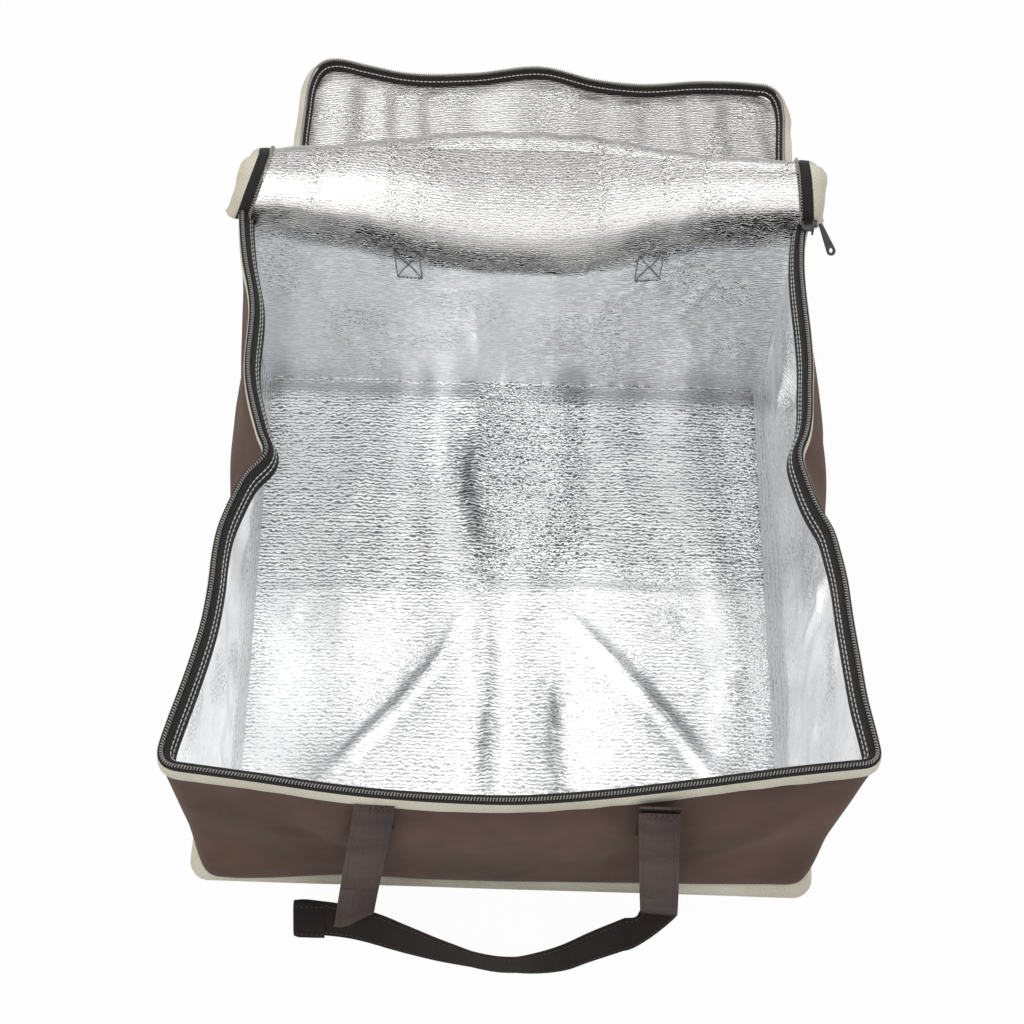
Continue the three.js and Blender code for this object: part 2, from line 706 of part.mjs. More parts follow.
function strapGrip(feet, footY, reach, facing) {
  const path = new THREE.QuadraticBezierCurve(
    new THREE.Vector2(feet[0], footY),
    new THREE.Vector2((feet[0] + feet[1]) / 2, footY + facing * reach * 2),
    new THREE.Vector2(feet[1], footY),
  );
  const centre = path.getPoints(ARC_STEPS);
  const offsetBy = (distance) => centre.map((point, index) => {
    const tangent = path.getTangent(index / ARC_STEPS);
    return new THREE.Vector2(point.x - tangent.y * distance, point.y + tangent.x * distance);
  });
  const half = STRAP_THICKNESS / 2;
  const outline = new THREE.Shape([...offsetBy(half), ...offsetBy(-half).reverse()]);
  return new THREE.ExtrudeGeometry(outline, { depth: GRIP_HEIGHT, bevelEnabled: false });
}

function carryingStrap(name, wall, tops, feet, facing, lean, reach) {
  const edges = tops.flatMap((x) => [x - STRAP_WIDTH / 2, x + STRAP_WIDTH / 2]);
  const corners = [wall.point(0, 1).x, wall.point(1, 1).x];
  const rims = edges.map((x) => wall.rim((x - corners[0]) / (corners[1] - corners[0])));
  const topZ = Math.min(...rims) - BINDING_HEIGHT - STRAP_TOP_DROP;
  const faceAt = (x, z) => faceY(wall, x, z) + facing * 2 * LAYER_GAP;
  const outermost = (values) => (facing < 0 ? Math.min(...values) : Math.max(...values));
  const topY = outermost(edges.map((x) => faceAt(x, topZ)));
  const lowY = outermost(edges.map((x) => faceAt(x, topZ - STRAP_TAB_LENGTH)));
  const legY = outermost([topY, lowY]) + facing * (STRAP_THICKNESS * 1.5 + LAYER_GAP);
  const footY = legY + facing * lean;
  tops.forEach((x, index) => {
    const word = ['left', 'right'][index];
    bag.add(solid(`${name}_strap_${word}_tab`, strapTab(x, topY, lowY, topZ, facing), strapCloth()));
    const leg = strapLeg(x, feet[index], legY, footY, topZ);
    bag.add(solid(`${name}_strap_${word}_leg`, leg, strapCloth()));
    bag.add(solid(`${name}_strap_${word}_stitching`, crossStitch(wall, x, topZ - STITCH_DROP), stitchThread()));
  });
  const gripY = footY + facing * (STRAP_THICKNESS + LAYER_GAP);
  bag.add(solid(`${name}_strap_grip`, strapGrip(feet, gripY, reach, facing), strapCloth()));
}
carryingStrap('front', frontWall, FRONT_STRAP_TOPS, FRONT_STRAP_FEET, -1, FRONT_STRAP_LEAN, FRONT_GRIP_REACH);
carryingStrap('rear', rearWall, REAR_STRAP_TOPS, REAR_STRAP_FEET, 1, REAR_STRAP_LEAN, REAR_GRIP_REACH);

// Zip slider on the right rim, its bail and its pull
const shareAtY = (y) => (y - rightWall.point(0, 1).y) / (rightWall.point(1, 1).y - rightWall.point(0, 1).y);
const rimXAt = (y) => rightWall.point(shareAtY(y), 1).x;
const plateOut = COIL_OUT - SLIDER_GAP;
const plateIn = TAPE_IN + SLIDER_GAP;
const webLow = coilTop + SLIDER_GAP;
const sliderGroup = new THREE.Group();
sliderGroup.position.set(rimXAt(SLIDER_Y), SLIDER_Y, RIM_HEIGHT);
sliderGroup.rotation.z = -Math.atan2(rimXAt(SLIDER_Y) - rimXAt(SLIDER_Y - SLIDER_LENGTH), SLIDER_LENGTH);
const halfSlider = SLIDER_LENGTH / 2;
const sliderBody = joined([
  block([-plateOut, -halfSlider, coilBase], [-plateOut + SLIDER_PLATE, halfSlider, SLIDER_TOP]),
  block([-plateIn - SLIDER_PLATE, -halfSlider, coilBase], [-plateIn, halfSlider, SLIDER_TOP]),
  block(
    [-plateIn - SLIDER_PLATE, -halfSlider, webLow],
    [-plateOut + SLIDER_PLATE, halfSlider, webLow + SLIDER_WEB_HEIGHT],
  ),
  block(
    [-plateOut, -BAIL_LENGTH / 2, webLow],
    [-plateOut + SLIDER_PLATE + BAIL_REACH, BAIL_LENGTH / 2, webLow + BAIL_HEIGHT],
  ),
]);
sliderGroup.add(solid('zip_slider', sliderBody, zipMetal()));
bag.add(sliderGroup);

// Flat pull with an eye at its free end, lying out from the bail and drooping.
const pullOutline = new THREE.Shape();
const pullHalf = PULL_WIDTH / 2;
pullOutline.moveTo(0, -PULL_ROOT_WIDTH / 2);
pullOutline.lineTo(PULL_LENGTH - pullHalf, -pullHalf);
pullOutline.absarc(PULL_LENGTH - pullHalf, 0, pullHalf, -Math.PI / 2, Math.PI / 2, false);
pullOutline.lineTo(0, PULL_ROOT_WIDTH / 2);
pullOutline.closePath();
const pullEye = new THREE.Path();
pullEye.absarc(PULL_LENGTH - pullHalf - PULL_HOLE_SHIFT, 0, PULL_HOLE, 0, 2 * Math.PI, true);
pullOutline.holes.push(pullEye);
const pullGeometry = new THREE.ExtrudeGeometry(pullOutline, {
  depth: PULL_THICKNESS, bevelEnabled: false, curveSegments: EYE_STEPS,
});
pullGeometry.translate(0, 0, -PULL_THICKNESS / 2);
const pullMesh = solid('zip_pull', pullGeometry, zipMetal());
const pullGroup = new THREE.Group();
const pullRoot = -plateOut + SLIDER_PLATE + BAIL_REACH + LAYER_GAP + (PULL_THICKNESS + PULL_ROOT_WIDTH) / 2;
pullGroup.position.set(rimXAt(SLIDER_Y) + pullRoot, SLIDER_Y, RIM_HEIGHT + webLow + BAIL_HEIGHT / 2);
pullGroup.rotation.set(0, 0, rad(PULL_AZIMUTH));
pullMesh.rotation.y = rad(-PULL_DROOP);
pullGroup.add(pullMesh);
bag.add(pullGroup);

// Stop at the left end of the coil, where the two halves of the zip come together.
const stopBack = RIM_BACK_Y - zipTrim;
const leftEnd = leftWall.point(0, 1);
bag.add(solid('zip_end_stop', block(
  [leftEnd.x + COIL_OUT, stopBack - STOP_LENGTH, RIM_HEIGHT + coilBase],
  [leftEnd.x + COIL_IN, stopBack, RIM_HEIGHT + coilTop],
), zipMetal()));

export default bag;
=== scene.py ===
"""An insulated carrier bag that stands open, its lid thrown back over the rear wall to the floor.

Lengths are in millimetres until a mesh is made, which turns them to metres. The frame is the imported
part's: +Z up, +Y towards the hinge, origin on the floor under the middle of the base.
"""

import logging
import math
from collections.abc import Callable, Iterable, Sequence
from dataclasses import dataclass, field
from enum import Enum

import bpy
import numpy as np
from mathutils import Matrix, Vector

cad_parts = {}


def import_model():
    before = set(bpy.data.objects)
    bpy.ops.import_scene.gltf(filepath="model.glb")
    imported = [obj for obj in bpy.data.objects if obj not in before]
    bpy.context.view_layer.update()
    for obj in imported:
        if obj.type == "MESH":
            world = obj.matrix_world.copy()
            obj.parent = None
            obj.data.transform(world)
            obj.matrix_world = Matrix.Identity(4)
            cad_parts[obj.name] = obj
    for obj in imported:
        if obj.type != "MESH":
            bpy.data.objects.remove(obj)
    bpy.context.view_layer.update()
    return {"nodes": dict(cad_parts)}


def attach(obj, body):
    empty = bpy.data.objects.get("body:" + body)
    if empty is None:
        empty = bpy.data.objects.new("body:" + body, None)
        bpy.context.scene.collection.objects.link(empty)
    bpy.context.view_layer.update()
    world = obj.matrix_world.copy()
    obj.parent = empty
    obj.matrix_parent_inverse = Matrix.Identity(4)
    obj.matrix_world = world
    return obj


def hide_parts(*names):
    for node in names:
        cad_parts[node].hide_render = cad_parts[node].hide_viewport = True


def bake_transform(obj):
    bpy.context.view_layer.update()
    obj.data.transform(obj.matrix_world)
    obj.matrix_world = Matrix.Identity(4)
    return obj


Array = np.ndarray
log = logging.getLogger("carrier bag")

MM = 0.001
SHARP_ANGLE = math.radians(48)

# Layers of every wall, as depths below the outer face of the cloth
CLOTH_IN = 0.8
FOAM_OUT = 1.1
FOAM_IN = 4.1
LINING_OUT = 4.4
LINING_IN = 4.9

# Rows of stitches: distance from one to the next, a stitch's length, and the thread's radius
EDGE_STITCH = (3.6, 3.2, 0.55)
STRAP_STITCH = (3.4, 2.6, 0.34)
CROSS_STITCH = (3.0, 2.7, 0.52)


# Numbers and curves


def eased(x: Array, low: float, high: float) -> Array:
    """Rises from 0 at low to 1 at high along a cubic that is level at both ends."""
    t = np.clip((np.asarray(x, float) - low) / (high - low), 0, 1)
    return t * t * (3 - 2 * t)


def mixed(a: Array, b: Array, share: Array) -> Array:
    """A point at that share of the way from a to b."""
    return a + (b - a) * share


def bezier(controls: Sequence[Array], shares: Array) -> Array:
    """Bezier curve of the controls: its neighbours are mixed again and again until one is left."""
    while len(controls) > 1:
        controls = [mixed(a, b, shares) for a, b in zip(controls, controls[1:])]
    return controls[0]


def through(at: Array, knots: Sequence[float], values: Array) -> Array:
    """Smooth curve through values at knots.

    Each span is a cubic, whose slope at a knot is that of the parabola through it and its two
    neighbours.

    Args:
        at: Places along the knots.
        knots: Rising positions of the values.
        values: One value, point or grid of points for each knot.

    Returns:
        The curve's values, one for each place.
    """
    knots = np.asarray(knots, float)
    values = np.asarray(values, float)
    at = np.asarray(at, float)
    slopes = np.gradient(values, knots, axis=0)
    low = np.clip(np.searchsorted(knots, at) - 1, 0, len(knots) - 2)
    shape = at.shape + (1,) * (values.ndim - 1)
    span = (knots[low + 1] - knots[low]).reshape(shape)
    t = np.clip((at - knots[low]), None, knots[-1] - knots[low]).reshape(shape) / span
    return (
        values[low] * (2 * t**3 - 3 * t**2 + 1)
        + slopes[low] * span * (t**3 - 2 * t**2 + t)
        + values[low + 1] * (3 * t**2 - 2 * t**3)
        + slopes[low + 1] * span * (t**3 - t**2)
    )


def travelled(points: Array) -> Array:
    """Distance along a line of points from its start to each point."""
    steps = np.linalg.norm(np.diff(points, axis=0), axis=-1)
    return np.concatenate([[0.0], np.cumsum(steps)])


def resampled(points: Array, count: int) -> Array:
    """Smooth line through the points, as that many points at even distances."""
    reach = travelled(points)
    fine = through(np.linspace(0, reach[-1], count * 4), reach, points)
    fine_reach = travelled(fine)
    wanted = np.linspace(0, fine_reach[-1], count)
    return np.stack([np.interp(wanted, fine_reach, axis) for axis in fine.T], -1)


def resampled_plain(points: Array, count: int) -> Array:
    """The same broken line as that many points at even distances."""
    reach = travelled(points)
    wanted = np.linspace(0, reach[-1], count)
    return np.stack([np.interp(wanted, reach, axis) for axis in points.T], -1)


def unit(vectors: Array) -> Array:
    """Vectors of length one in the same directions."""
    return vectors / np.maximum(np.linalg.norm(vectors, axis=-1, keepdims=True), 1e-9)


def beside(line: Array) -> Array:
    """Unit normals in plan of a line that runs round the bag, away from the bag."""
    ahead = unit(np.gradient(line, axis=0))
    return np.stack([ahead[:, 1], -ahead[:, 0]], -1)


def noise(u: Array, v: Array, size: float, seed: int) -> Array:
    """Random values from -1 to 1 at the corners of squares of that size, eased between them."""
    cells = 64
    lattice = np.random.default_rng(seed).uniform(-1, 1, (cells, cells))
    a, b = np.broadcast_arrays(np.asarray(u) / size + 31.7, np.asarray(v) / size + 17.3)
    i, j = np.floor(a).astype(int), np.floor(b).astype(int)
    s, t = eased(a - i, 0, 1), eased(b - j, 0, 1)
    next_i, next_j = (i + 1) % cells, (j + 1) % cells
    i, j = i % cells, j % cells
    near = mixed(lattice[i, j], lattice[next_i, j], s)
    far = mixed(lattice[i, next_j], lattice[next_i, next_j], s)
    return mixed(near, far, t)


def waver(reach: Array, size: float, seed: int) -> Array:
    """Noise of that size along a line."""
    return noise(reach, reach * 0, size, seed)


def rumple(u: Array, v: Array, size: float, seed: int) -> Array:
    """Soft unevenness of cloth: noise of that size, with half as much of half the size on it."""
    return noise(u, v, size, seed) + 0.5 * noise(u, v, size / 2.1, seed + 1)


def crinkle(u: Array, v: Array, size: float, seed: int) -> Array:
    """Net of sharp little ridges: 1 where a noise is 0, and less on both sides of that."""
    return 1 - 2 * np.abs(noise(u, v, size, seed))


@dataclass(frozen=True)
class Crease:
    """A fold line in a sheet, as points on the sheet.

    Its height falls away on both sides with the distance from the line, and towards both ends.
    """

    points: tuple[tuple[float, float], ...]
    width: float
    height: float

    def lift(self, u: Array, v: Array) -> Array:
        """Height at places on the sheet: a cusp of the nearest distance to the line."""
        nearest = np.full(np.broadcast(u, v).shape, 1e9)
        run = np.zeros_like(nearest)
        reach = travelled(np.asarray(self.points, float))
        for k, ((au, av), (bu, bv)) in enumerate(zip(self.points, self.points[1:])):
            du, dv = bu - au, bv - av
            share = np.clip(((u - au) * du + (v - av) * dv) / (du * du + dv * dv), 0, 1)
            away = np.hypot(u - au - share * du, v - av - share * dv)
            run = np.where(away < nearest, mixed(reach[k], reach[k + 1], share), run)
            nearest = np.minimum(nearest, away)
        ends = eased(np.minimum(run, reach[-1] - run), -0.05 * reach[-1], 0.35 * reach[-1])
        return self.height * ends * np.exp(-((nearest / self.width) ** 1.7))


def lifted(creases: Iterable[Crease], u: Array, v: Array) -> Array:
    """Height of several creases together."""
    return sum((crease.lift(u, v) for crease in creases), np.zeros(np.broadcast(u, v).shape))


# Meshes


def quads_of(index: Array) -> Array:
    """Four corners of every cell of a grid of point numbers."""
    corners = (index[:-1, :-1], index[:-1, 1:], index[1:, 1:], index[1:, :-1])
    return np.stack(corners, -1).reshape(-1, 4)


def normals_of(grid: Array) -> Array:
    """Unit normals of a grid of points: the cross product of its two directions."""
    down = np.gradient(grid, axis=0)
    across = np.gradient(grid, axis=1)
    return unit(np.cross(across, down))


@dataclass(frozen=True)
class Shell:
    """A closed body: points, four-cornered faces with their places on flat cloth, and triangles."""

    points: Array
    quads: Array
    places: Array
    tris: Array = field(default_factory=lambda: np.zeros((0, 3), int))

    def outward(self) -> "Shell":
        """The same body with its faces turned out, found by the sign of the volume they enclose."""
        corners = np.concatenate([self.quads[:, [0, 1, 2]], self.quads[:, [0, 2, 3]], self.tris])
        a, b, c = (self.points[corners[:, k]] for k in range(3))
        if np.einsum("ij,ij->", a, np.cross(b, c)) >= 0:
            return self
        return Shell(self.points, self.quads[:, ::-1], self.places[:, ::-1], self.tris[:, ::-1])


def gathered(shells: Sequence[Shell]) -> Shell:
    """Several bodies as the loose parts of one."""
    starts = np.cumsum([0] + [len(shell.points) for shell in shells])
    return Shell(
        np.concatenate([shell.points for shell in shells]),
        np.concatenate([shell.quads + start for shell, start in zip(shells, starts)]),
        np.concatenate([shell.places for shell in shells]),
        np.concatenate([shell.tris + start for shell, start in zip(shells, starts)]),
    )


def slab(face: Array, back: Array, places: Array) -> Shell:
    """Closed sheet between two matching grids, with a wall of quads round its border.

    Args:
        face: Points of one side, rows by columns.
        back: Points of the other side.
        places: Where each point is on the flat cloth.

    Returns:
        The body, with its faces out.
    """
    rows, columns = face.shape[:2]
    count = rows * columns
    index = np.arange(count).reshape(rows, columns)
    border = np.concatenate([index[0], index[1:, -1], index[-1, -2::-1], index[-2:0:-1, 0]])
    ahead = np.roll(border, -1)
    edge = np.stack([ahead, border, border + count, ahead + count], -1)
    quads = np.concatenate([quads_of(index), quads_of(index)[:, ::-1] + count, edge])
    flat = np.asarray(places, float).reshape(-1, 2)
    points = np.concatenate([face.reshape(-1, 3), back.reshape(-1, 3)])
    return Shell(points, quads, flat[quads % count]).outward()


def loop_places(loop: Array, reach: Array) -> Array:
    """Places of each face's corners on flat cloth: distance along a body, and round its loop."""
    around = travelled(np.concatenate([loop, loop[:1]]))
    places = np.stack(np.broadcast_arrays(np.asarray(reach)[:, None], around[None, :]), -1)
    cells = quads_of(np.arange(places[..., 0].size).reshape(places.shape[:2]))
    return places.reshape(-1, 2)[cells]


def loft_faces(count: int, sides: int) -> tuple[Array, Array]:
    """Faces of a body made of loops, whose two end points are numbered after the loops.

    Args:
        count: Number of loops.
        sides: Points of a loop.

    Returns:
        The faces between the loops, and the fans of triangles over both ends.
    """
    index = np.arange(count * sides).reshape(count, sides)
    ahead = np.roll(index, -1, axis=1)
    tip = np.full(sides, count * sides)
    fans = [np.stack([index[0], tip, ahead[0]], -1), np.stack([index[-1], ahead[-1], tip + 1], -1)]
    return quads_of(np.pad(index, ((0, 0), (0, 1)), mode="wrap")), np.concatenate(fans)


def tube(sections: Array, reach: Array) -> Shell:
    """Closed body whose sections are loops of points, with a fan over each end.

    Args:
        sections: Sections by points round the loop.
        reach: Distance along the body at each section.

    Returns:
        The body, with its faces out.
    """
    quads, tris = loft_faces(*sections.shape[:2])
    ends = np.stack([sections[0].mean(0), sections[-1].mean(0)])
    points = np.concatenate([sections.reshape(-1, 3), ends])
    return Shell(points, quads, loop_places(sections[0], reach), tris).outward()


def ringed(grid: Array, reach: Array) -> Shell:
    """Closed ring whose last section is its first: sections by points round the loop."""
    index = np.arange(grid[:-1, :, 0].size).reshape(grid[:-1].shape[:2])
    quads = quads_of(np.pad(index, (0, 1), mode="wrap"))
    return Shell(grid[:-1].reshape(-1, 3), quads, loop_places(grid[0], reach)).outward()


def piece(name: str, shell: Shell, finish: bpy.types.Material) -> bpy.types.Object:
    """Makes the object of a body, in metres, with its UV map in metres of cloth.

    Args:
        name: The piece's name.
        shell: The body in millimetres.
        finish: Its material.

    Returns:
        The object, at the world's origin.
    """
    mesh = bpy.data.meshes.new(name)
    corners = np.concatenate([shell.quads.ravel(), shell.tris.ravel()]).astype(np.int32)
    places = np.concatenate([shell.places.reshape(-1, 2), np.zeros((shell.tris.size, 2))])
    sizes = np.repeat([4, 3], [len(shell.quads), len(shell.tris)])
    starts = (np.cumsum(sizes) - sizes).astype(np.int32)
    mesh.vertices.add(len(shell.points))
    mesh.vertices.foreach_set("co", (shell.points * MM).astype(np.float32).ravel())
    mesh.loops.add(len(corners))
    mesh.loops.foreach_set("vertex_index", corners)
    mesh.polygons.add(len(starts))
    mesh.polygons.foreach_set("loop_start", starts)
    layer = mesh.uv_layers.new(name="cloth")
    layer.data.foreach_set("uv", (places * MM).astype(np.float32).ravel())
    mesh.update(calc_edges=True)
    mesh.validate()
    mesh.shade_smooth()
    mesh.set_sharp_from_angle(angle=SHARP_ANGLE)
    mesh.materials.append(finish)
    made = bpy.data.objects.new(name, mesh)
    bpy.context.scene.collection.objects.link(made)
    return made


# Lines that a profile is carried along


@dataclass(frozen=True)
class Track:
    """A line with two directions at each point: out, away from the cloth's edge, and up."""

    points: Array
    out: Array
    up: Array

    @staticmethod
    def standing(points: Array, facing: Array) -> "Track":
        """A track with directions out that are given in plan, and straight up as its up."""
        level = np.zeros((len(points), 1))
        out = np.concatenate([facing, level], 1)
        return Track(points, out, np.concatenate([facing * 0, level + 1], 1))

    def reach(self) -> Array:
        """Distance from the start to each point."""
        return travelled(self.points)

    def at(self, reach: Array) -> "Track":
        """The track at other distances along it, taken straight between its points."""
        own = self.reach()

        def pick(values: Array) -> Array:
            """Values at those distances."""
            return np.stack([np.interp(reach, own, axis) for axis in values.T], -1)

        return Track(pick(self.points), unit(pick(self.out)), unit(pick(self.up)))

    def every(self, step: float) -> "Track":
        """The track as points about that step apart."""
        total = self.reach()[-1]
        return self.at(np.linspace(0, total, max(2, int(round(total / step)) + 1)))

    def carry(self, outs: Array, ups: Array) -> Array:
        """Points beside the track: so far out and so far up from it at each of its points."""
        return (
            self.points[:, None]
            + self.out[:, None] * np.atleast_2d(outs)[..., None]
            + self.up[:, None] * np.atleast_2d(ups)[..., None]
        )


def swept(track: Track, profile: Sequence[tuple[float, float]], spread: Array,
          sway: Array) -> Shell:
    """A closed profile carried along a track.

    Args:
        track: The line.
        profile: Points round the section, as distances out and up.
        spread: Factor on the distances out at each of the track's points.
        sway: Distance that each section's lowest points drop further, in proportion to their depth.

    Returns:
        The body.
    """
    outs, ups = np.asarray(profile, float).T
    depth = np.clip(-ups / max(1e-6, -ups.min()), 0, 1) if ups.min() < 0 else ups * 0
    sections = track.carry(
        outs[None] * spread[:, None], ups[None] - np.asarray(sway)[:, None] * depth[None]
    )
    sections[..., 2] = np.maximum(sections[..., 2], 0.05)
    return tube(sections, track.reach())


def coil(track: Track, centre: tuple[float, float], radii: tuple[float, float], pitch: float,
         wire: float) -> Shell:
    """Zip coil: a wire wound along the track.

    The wire's middle goes round an ellipse once in each pitch, and a four-sided section stands on
    the ellipse's radius and on the track's direction.

    Args:
        track: The line.
        centre: Middle of the winding, as distances out and up.
        radii: Half sizes of the winding, out and up.
        pitch: Distance between turns.
        wire: Radius of the wire.

    Returns:
        The wire as one body.
    """
    total = track.reach()[-1]
    around = 8
    reach = np.linspace(0, total, int(total / pitch) * around + 1)
    line = track.at(reach)
    angle = 2 * np.pi * np.arange(len(reach)) / around
    radial = line.out * np.cos(angle)[:, None] + line.up * np.sin(angle)[:, None]
    middle = (
        line.points
        + line.out * (centre[0] + radii[0] * np.cos(angle))[:, None]
        + line.up * (centre[1] + radii[1] * np.sin(angle))[:, None]
    )
    ahead = unit(np.gradient(line.points, axis=0))
    corner = np.arange(4) * np.pi / 2 + np.pi / 4
    sections = (
        middle[:, None]
        + radial[:, None] * (wire * np.cos(corner))[None, :, None]
        + ahead[:, None] * (wire * np.sin(corner))[None, :, None]
    )
    return tube(sections, reach)


def stitches(line: Array, normals: Array, pitch: float, length: float, thread: float) -> Shell:
    """A row of stitches along a line that lies on cloth.

    Every stitch is a spindle of five sides: its radius is a half sine of the share along it.

    Args:
        line: Points along the seam.
        normals: The cloth's normal at each point.
        pitch: Distance from one stitch to the next.
        length: Length of one stitch.
        thread: Radius of the thread.

    Returns:
        All the stitches as the loose parts of one body.
    """
    row = Track(line, normals, normals)
    total = row.reach()[-1]
    starts = np.arange(0.5 * (pitch - length), total - length, pitch)
    low, high = row.at(starts), row.at(starts + length)
    ahead = unit(high.points - low.points)
    side = unit(np.cross(ahead, low.out))
    shares = np.array([0.12, 0.5, 0.88])
    sides = 5
    radius = thread * np.sqrt(np.sin(np.pi * shares))
    angle = np.arange(sides) * 2 * np.pi / sides
    middles = mixed(low.points[:, None], high.points[:, None], shares[None, :, None])
    rings = (
        middles[:, :, None]
        + low.out[:, None, None] * (radius[:, None] * np.sin(angle))[None, :, :, None]
        + side[:, None, None] * (radius[:, None] * np.cos(angle))[None, :, :, None]
    )
    count = len(starts)
    tips = np.stack([low.points, high.points], 1)
    points = np.concatenate([rings.reshape(count, -1, 3), tips], 1)
    quads, tris = loft_faces(len(shares), sides)
    steps = (np.arange(count) * points.shape[1])[:, None, None]
    quads = (quads[None] + steps).reshape(-1, 4)
    tris = (tris[None] + steps).reshape(-1, 3)
    return Shell(points.reshape(-1, 3), quads, np.zeros((*quads.shape, 2)), tris).outward()


# Finishes


def linear(code: str) -> tuple[float, float, float, float]:
    """Turns an sRGB colour such as "c8c2b0" to linear light, with full opacity."""
    parts = [int(code[k:k + 2], 16) / 255 for k in (0, 2, 4)]
    light = [c / 12.92 if c <= 0.04045 else ((c + 0.055) / 1.055) ** 2.4 for c in parts]
    return light[0], light[1], light[2], 1.0


def put(tree: bpy.types.NodeTree, kind: str, values: dict | None = None,
        links: dict | None = None, **settings: object) -> bpy.types.Node:
    """Adds a node to a tree.

    Args:
        tree: The node tree.
        kind: The node's type.
        values: Fixed values of its inputs.
        links: Sockets that feed its inputs.
        **settings: Properties of the node itself.

    Returns:
        The node.
    """
    node = tree.nodes.new(kind)
    for name, value in settings.items():
        setattr(node, name, value)
    for name, value in (values or {}).items():
        node.inputs[name].default_value = value
    for name, source in (links or {}).items():
        tree.links.new(source, node.inputs[name])
    return node


def fresh(name: str) -> tuple[bpy.types.Material, bpy.types.NodeTree, bpy.types.Node]:
    """A material with an empty tree and its output node."""
    made = bpy.data.materials.new(name)
    made.use_nodes = True
    tree = made.node_tree
    tree.nodes.clear()
    return made, tree, put(tree, "ShaderNodeOutputMaterial")


def ramp(tree: bpy.types.NodeTree, source: bpy.types.NodeSocket,
         stops: Sequence[tuple[float, str]]) -> bpy.types.NodeSocket:
    """Colours along a value: each stop is a place from 0 to 1 and an sRGB colour."""
    node = put(tree, "ShaderNodeValToRGB", links={"Fac": source})
    bar = node.color_ramp.elements
    while len(bar) < len(stops):
        bar.new(0.5)
    for element, (place, code) in zip(bar, stops):
        element.position = place
        element.color = linear(code)
    return node.outputs["Color"]


def scaled(tree: bpy.types.NodeTree, sizes: tuple[float, float, float], turn: float = 0.0,
           space: str = "UV") -> bpy.types.NodeSocket:
    """Coordinates in which one unit is that many millimetres each way, turned about the third."""
    where = put(tree, "ShaderNodeTexCoord")
    scale = tuple(1000 / size for size in sizes)
    turned = put(tree, "ShaderNodeMapping", {"Scale": scale, "Rotation": (0, 0, turn)},
                 {"Vector": where.outputs[space]})
    return turned.outputs["Vector"]


def cloud(tree: bpy.types.NodeTree, sizes: tuple[float, float, float], flat: bool = False,
          space: str = "UV", **values: float) -> bpy.types.NodeSocket:
    """Noise from 0 to 1.

    Args:
        tree: The node tree.
        sizes: Sizes of its features in millimetres.
        flat: Whether it varies over two directions only.
        space: The coordinates that it lies in.
        **values: Fixed values of the noise's inputs.

    Returns:
        The noise.
    """
    node = put(tree, "ShaderNodeTexNoise", {"Scale": 1.0, **values},
               {"Vector": scaled(tree, sizes, space=space)},
               noise_dimensions="2D" if flat else "3D")
    return node.outputs["Fac"]


def sums(tree: bpy.types.NodeTree, kind: str,
         *terms: bpy.types.NodeSocket | float) -> bpy.types.NodeSocket:
    """Result of one sum. Sockets are linked, and numbers are set on the node."""
    node = put(tree, "ShaderNodeMath", operation=kind)
    for slot, term in enumerate(terms):
        if isinstance(term, bpy.types.NodeSocket):
            tree.links.new(term, node.inputs[slot])
        else:
            node.inputs[slot].default_value = term
    return node.outputs[0]


def ranged(tree: bpy.types.NodeTree, source: bpy.types.NodeSocket, span: tuple[float, float],
           result: tuple[float, float]) -> bpy.types.NodeSocket:
    """Goes from one end of the result to the other as the source crosses the span."""
    names = ("From Min", "From Max", "To Min", "To Max")
    return put(tree, "ShaderNodeMapRange", dict(zip(names, span + result)),
               {"Value": source}).outputs[0]


def surface(tree: bpy.types.NodeTree, out: bpy.types.Node, colour: bpy.types.NodeSocket,
            height: bpy.types.NodeSocket, strength: float, relief: float, values: dict,
            links: dict | None = None) -> None:
    """Ends a material's tree with a surface that has a colour and a fine relief.

    Args:
        tree: The node tree.
        out: Its output node.
        colour: The colour.
        height: The relief's height, where 1 is the full relief.
        strength: Share of the relief that shows.
        relief: The full relief in millimetres.
        values: Fixed values of the surface's other inputs.
        links: Sockets that feed its other inputs.
    """
    bump = put(tree, "ShaderNodeBump", {"Strength": strength, "Distance": relief * MM},
               {"Height": height})
    stuff = put(tree, "ShaderNodeBsdfPrincipled", values,
                {"Base Color": colour, "Normal": bump.outputs["Normal"], **(links or {})})
    tree.links.new(stuff.outputs["BSDF"], out.inputs["Surface"])


